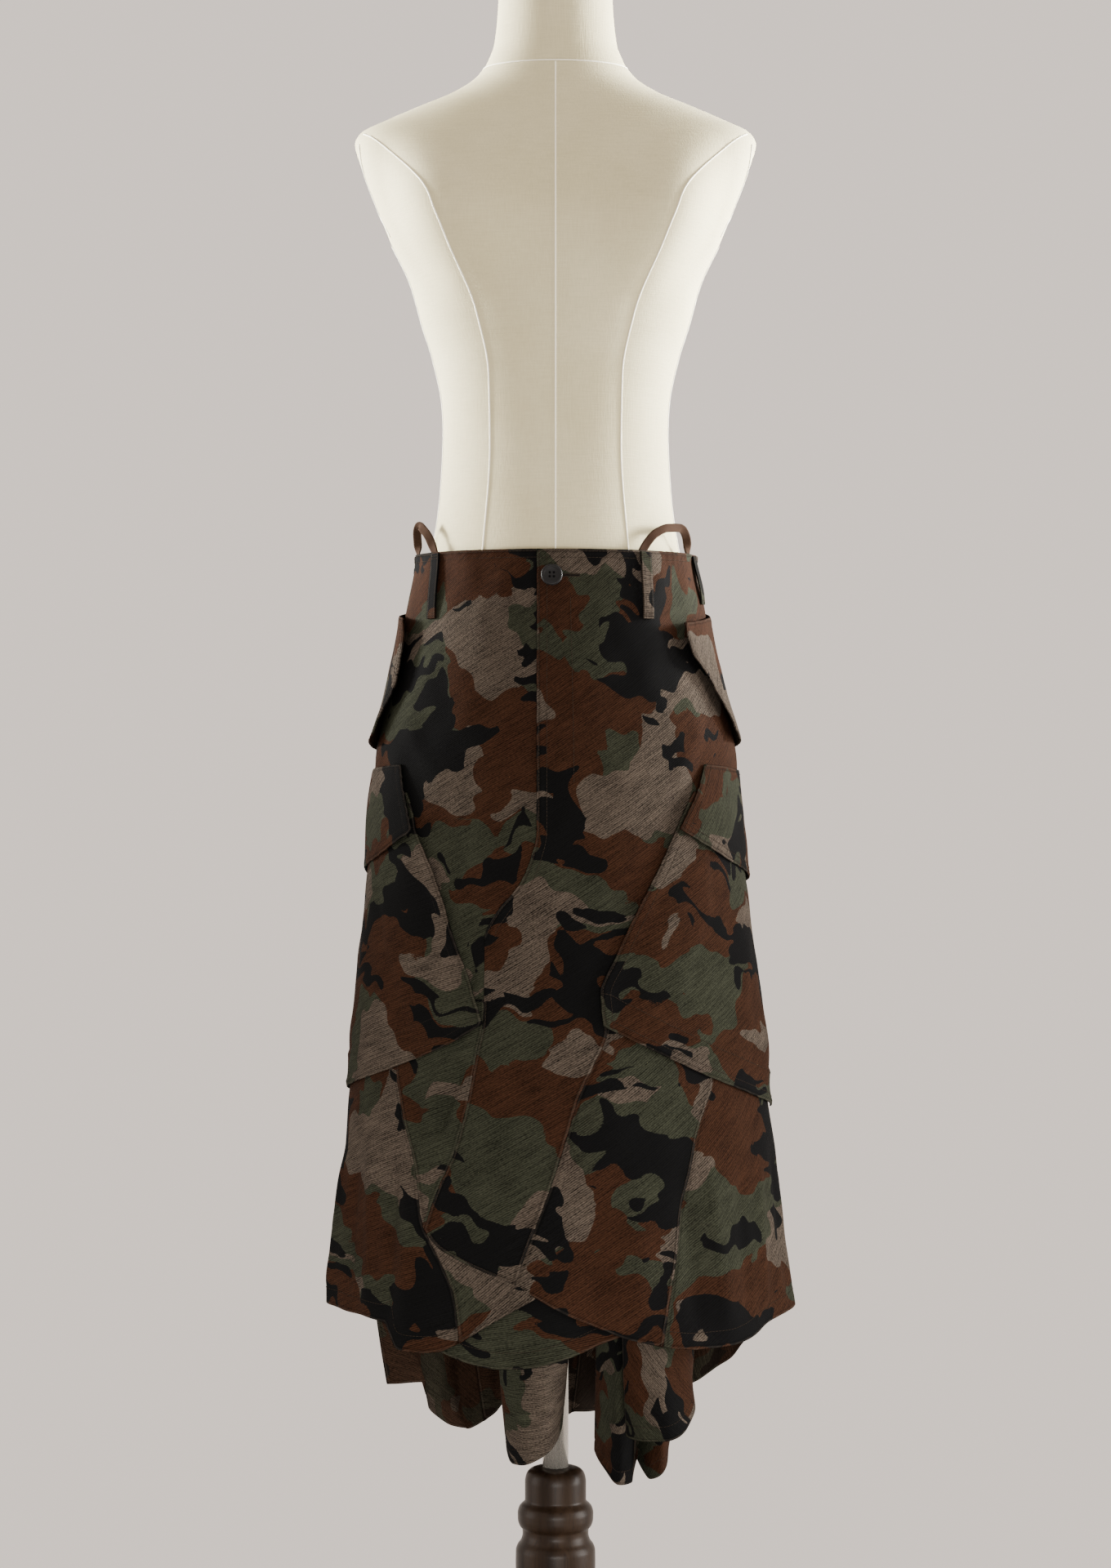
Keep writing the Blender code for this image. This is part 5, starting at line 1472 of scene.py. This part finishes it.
def linen_materials():
    tree, shader = new_material(
        "form linen", 0.85, Sheen_Weight=0.03, Sheen_Roughness=0.5, Specular_IOR_Level=0.12)
    place = object_place(tree)
    warp = noise(tree, moved(tree, place, (700.0, 700.0, 60.0)), 1.0, 1.0, 0.6, flat=False)
    weft = noise(tree, moved(tree, place, (60.0, 60.0, 900.0)), 1.0, 1.0, 0.6, flat=False)
    cloudy = noise(tree, place, 9.0, 3.0, 0.6, flat=False)
    threads = maths(tree, "ADD", ramp(tree, warp, 0.3, 0.7, -0.5, 0.5), ramp(tree, weft, 0.3, 0.7, -0.5, 0.5))
    base = mixed(tree, ramp(tree, cloudy, 0.35, 0.65), *LINEN)
    shade = ramp(tree, threads, -1.0, 1.0, 0.93, 1.06)
    grey = add(tree, "ShaderNodeCombineColor", {0: shade, 1: shade, 2: shade}).outputs[0]
    tree.links.new(mixed(tree, 1.0, base, grey, "MULTIPLY"), shader.inputs["Base Color"])
    bump = add(tree, "ShaderNodeBump", {"Height": threads, "Strength": 0.25, "Distance": 0.0003})
    tree.links.new(bump.outputs[0], shader.inputs["Normal"])
    tree.links.new(ramp(tree, cloudy, 0.3, 0.7, 0.76, 0.86), shader.inputs["Roughness"])

    tree, shader = new_material("form piping", 0.65, Specular_IOR_Level=0.35)
    place = object_place(tree)
    twist = noise(tree, place, 900.0, 1.0, flat=False)
    tree.links.new(mixed(tree, twist, *PIPING), shader.inputs["Base Color"])


def wood_material():
    tree, shader = new_material("dark walnut", 0.36, Specular_IOR_Level=0.12)
    place = object_place(tree)
    grain = noise(tree, moved(tree, place, (38.0, 38.0, 4.0)), 1.0, 4.0, 0.6, flat=False)
    pores = noise(tree, moved(tree, place, (420.0, 420.0, 26.0)), 1.0, 2.0, 0.6, flat=False)
    tone = mixed(tree, ramp(tree, grain, 0.35, 0.68), *WALNUT)
    tone = mixed(tree, ramp(tree, pores, 0.56, 0.66, 0.0, 0.55), tone, WALNUT_PORES)
    tree.links.new(tone, shader.inputs["Base Color"])
    tree.links.new(ramp(tree, grain, 0.3, 0.7, 0.28, 0.42), shader.inputs["Roughness"])
    bump = add(tree, "ShaderNodeBump", {"Height": pores, "Strength": 0.12, "Distance": 0.0003})
    tree.links.new(bump.outputs[0], shader.inputs["Normal"])


def metal_material():
    tree, shader = new_material("brushed steel", 0.30, 0.8)
    place = object_place(tree)
    streaks = noise(tree, moved(tree, place, (900.0, 900.0, 14.0)), 1.0, 2.0, 0.6, flat=False)
    tree.links.new(mixed(tree, streaks, *STEEL), shader.inputs["Base Color"])
    tree.links.new(ramp(tree, streaks, 0.3, 0.7, 0.18, 0.30), shader.inputs["Roughness"])


def small_materials():
    tree, shader = new_material("hanger tape", 0.85, Specular_IOR_Level=0.04)
    cloth = add(tree, "ShaderNodeUVMap", uv_map="cloth").outputs[0]
    wave = add(tree, "ShaderNodeTexWave", {"Vector": cloth, "Scale": 300.0}, bands_direction="Y")
    ribs = wave.outputs["Fac"]
    tree.links.new(mixed(tree, ribs, *TAPE), shader.inputs["Base Color"])
    bump = add(tree, "ShaderNodeBump", {"Height": ribs, "Strength": 0.4, "Distance": 0.0002})
    tree.links.new(bump.outputs[0], shader.inputs["Normal"])

    tree, shader = new_material("black button", 0.42, Specular_IOR_Level=0.14)
    place = object_place(tree)
    scuffs = noise(tree, place, 700.0, 3.0, 0.7, flat=False)
    tree.links.new(mixed(tree, scuffs, *BUTTON_BLACK), shader.inputs["Base Color"])
    tree.links.new(ramp(tree, scuffs, 0.3, 0.7, 0.36, 0.52), shader.inputs["Roughness"])

    for name, dark, light in THREADS:
        tree, shader = new_material(name, 0.9, Specular_IOR_Level=0.02)
        fluff = noise(tree, object_place(tree), 500.0, 1.0, flat=False)
        tree.links.new(mixed(tree, fluff, dark, light), shader.inputs["Base Color"])


# Scene

FLOOR_RADIUS = 0.56
WALL = (1.120, 0.985, 0.885, 1.0)
# Lights: name, place, what they aim at, size, power, spread in degrees, colour
LIGHTS = (
    ("left lamp", (-1.6, 0.45, 1.60), (0.0, 0.0, 1.50), (0.5, 0.8), 17.0, 34.0, (1.0, 0.985, 0.94)),
    ("right lamp", (1.6, 0.45, 1.60), (0.0, 0.0, 1.50), (0.5, 0.8), 22.0, 34.0, (1.0, 0.985, 0.94)),
    ("left softbox", (-1.75, -0.2, 0.50), (0.0, 0.0, 0.42), (0.9, 1.2), 5.0, 110.0, (1.0, 0.98, 0.95)),
    ("right softbox", (1.75, -0.2, 0.60), (0.0, 0.0, 0.50), (0.9, 1.2), 23.0, 110.0, (1.0, 0.98, 0.95)),
    ("low front softbox", (0.3, -2.6, 0.25), (0.0, 0.0, 0.36), (1.4, 0.5), 9.5, 70.0, (1.0, 0.98, 0.95)),
    ("top softbox", (0.0, -0.8, 2.9), (0.0, 0.0, 1.2), (1.4, 1.4), 4.0, 150.0, (1.0, 0.99, 0.97)),
)


def make_scene():
    camera = bpy.data.cameras.new("camera")
    camera.lens = CAMERA_LENS
    camera.sensor_width = 36.0
    camera.clip_end = 30.0
    view = bpy.data.objects.new("camera", camera)
    view.location = CAMERA_AT
    view.rotation_euler = (math.radians(90), 0.0, 0.0)
    bpy.context.scene.collection.objects.link(view)
    bpy.context.scene.camera = view

    floor = bmesh.new()
    bmesh.ops.create_circle(floor, cap_ends=True, segments=96, radius=FLOOR_RADIUS)
    mesh = bpy.data.meshes.new("studio_floor")
    floor.to_mesh(mesh)
    floor.free()
    tree, shader = new_material("pale floor", 0.8)
    place = object_place(tree)
    cloudy = noise(tree, place, 3.0, 3.0, 0.5, flat=False)
    tree.links.new(mixed(tree, cloudy, *FLOOR), shader.inputs["Base Color"])
    mesh.materials.append(bpy.data.materials["pale floor"])
    ground = bpy.data.objects.new("studio_floor", mesh)
    bpy.context.scene.collection.objects.link(ground)

    for name, place, target, size, power, spread, colour in LIGHTS:
        lamp = bpy.data.lights.new(name, "AREA")
        lamp.shape = "RECTANGLE"
        lamp.size, lamp.size_y = size
        lamp.energy = power
        lamp.spread = math.radians(spread)
        lamp.color = colour
        light = bpy.data.objects.new(name, lamp)
        light.location = place
        aim = Vector(target) - Vector(place)
        light.rotation_euler = aim.to_track_quat("-Z", "Y").to_euler()
        bpy.context.scene.collection.objects.link(light)

    world = bpy.data.worlds.new("studio")
    world.use_nodes = True
    background = world.node_tree.nodes["Background"]
    background.inputs["Color"].default_value = WALL
    background.inputs["Strength"].default_value = 1.0
    bpy.context.scene.world = world


# The cloth panels, and what each small cloth piece lies on
PANELS = ("front_panel_left", "front_panel_right", "left_gore_panel", "left_side_panel", "hem_corner_panel",
          "right_gore_panel", "right_side_panel", "front_under_layer", "back_panel_left", "back_panel_right",
          "flounce_left_cloth", "flounce_back_left_cloth", "flounce_back_right_cloth", "flounce_right_cloth",
          "tail_centre_cloth", "tail_right_cloth", "tail_behind_cloth")
LAID = {
    "cargo_pocket_left_cloth": ("left_side_panel", "front_panel_left"),
    "cargo_pocket_right_cloth": ("right_side_panel", "front_panel_right"),
    "cargo_flap_left_cloth": ("front_panel_left", "back_panel_left"),
    "cargo_flap_right_cloth": ("front_panel_right", "back_panel_right"),
    "hip_flap_left_cloth": ("front_panel_left",),
    "hip_flap_right_cloth": ("front_panel_right",),
    "hanger_left_tape": ("front_panel_left",),
    "hanger_right_tape": ("front_panel_right",),
    "belt_loop_front_left_cloth": ("front_panel_left",),
    "belt_loop_front_right_cloth": ("front_panel_right",),
    "belt_loop_side_right_cloth": ("front_panel_right",),
    "belt_loop_side_left_cloth": ("back_panel_left",),
    "belt_loop_back_cloth": ("back_panel_right",),
}
# The least flat width that a cut is given
NARROWEST = 0.0102


def cut_of(piece):
    """Width, length and area of a piece's flat cut, in the tightest box round it."""
    mesh = piece.data
    flat = np.empty(len(mesh.loops) * 2)
    mesh.uv_layers["cloth"].data.foreach_get("uv", flat)
    flat = flat.reshape(-1, 2)
    area = sum(face.area for face in mesh.polygons)
    boxes = []
    for degrees in range(0, 90, 3):
        size = np.ptp(turned(flat, degrees, (0.0, 0.0)), axis=0)
        boxes.append((size[0] * size[1], size[0], size[1]))
    whole, wide, long = min(boxes)
    stretch = math.sqrt(max(1.0, 1.002 * area / whole))
    return max(wide * stretch, NARROWEST), max(long * stretch, NARROWEST), area


def declare_cloth():
    for name in PANELS + tuple(LAID):
        piece = bpy.data.objects[name]
        wide, long, area = cut_of(piece)


# Slot of each finish
SLOTS = {
    "camouflage cloth": "camo_twill",
    "form linen": "linen",
    "form piping": "linen",
    "dark walnut": "turned_wood",
    "brushed steel": "pole_metal",
    "hanger tape": "hanger_tape",
    "black button": "button_plastic",
    "sewing thread": "camo_twill",
    "black thread": "button_plastic",
}


def main():
    cloth_materials()
    linen_materials()
    wood_material()
    metal_material()
    small_materials()
    make_form()
    make_form_seams()
    make_stand()
    make_front()
    make_lower()
    make_back()
    make_pocket("cargo_pocket_left_cloth", "cargo_pocket_left", POCKET_LEFT, PLEAT_LEFT, 16.0, (0.15, 1.1))
    make_pocket("cargo_pocket_right_cloth", "cargo_pocket_right", POCKET_RIGHT, PLEAT_RIGHT, 4.0, (0.85, 1.2))
    make_cargo_flap("cargo_flap_left_cloth", "cargo_flap_left", CARGO_FLAP_LEFT, 6.0, (0.3, 1.5))
    make_cargo_flap("cargo_flap_right_cloth", "cargo_flap_right", CARGO_FLAP_RIGHT, -14.0, (0.6, 1.6))
    make_hip_flap("hip_flap_left_cloth", "hip_flap_left", HIP_FLAP_LEFT, 20.0, (0.25, 1.9))
    make_hip_flap("hip_flap_right_cloth", "hip_flap_right", HIP_FLAP_RIGHT, -18.0, (0.95, 1.8))
    make_belt_loops()
    make_hangers()
    make_tier()
    make_tail("tail_centre_cloth", "tail_centre", TAIL_CENTRE, 45, 50, 30.0)
    make_tail("tail_right_cloth", "tail_right", TAIL_RIGHT, 45, 50, 80.0)
    make_tail("tail_behind_cloth", "tail_right_behind", TAIL_BEHIND, 75, 60, -35.0)
    make_button()
    make_buttonhole()
    make_stitching()
    declare_cloth()
    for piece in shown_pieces():
        if not piece.get("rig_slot") and piece.data.materials:
            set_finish(piece, SLOTS[piece.data.materials[0].name])
    make_scene()


main()
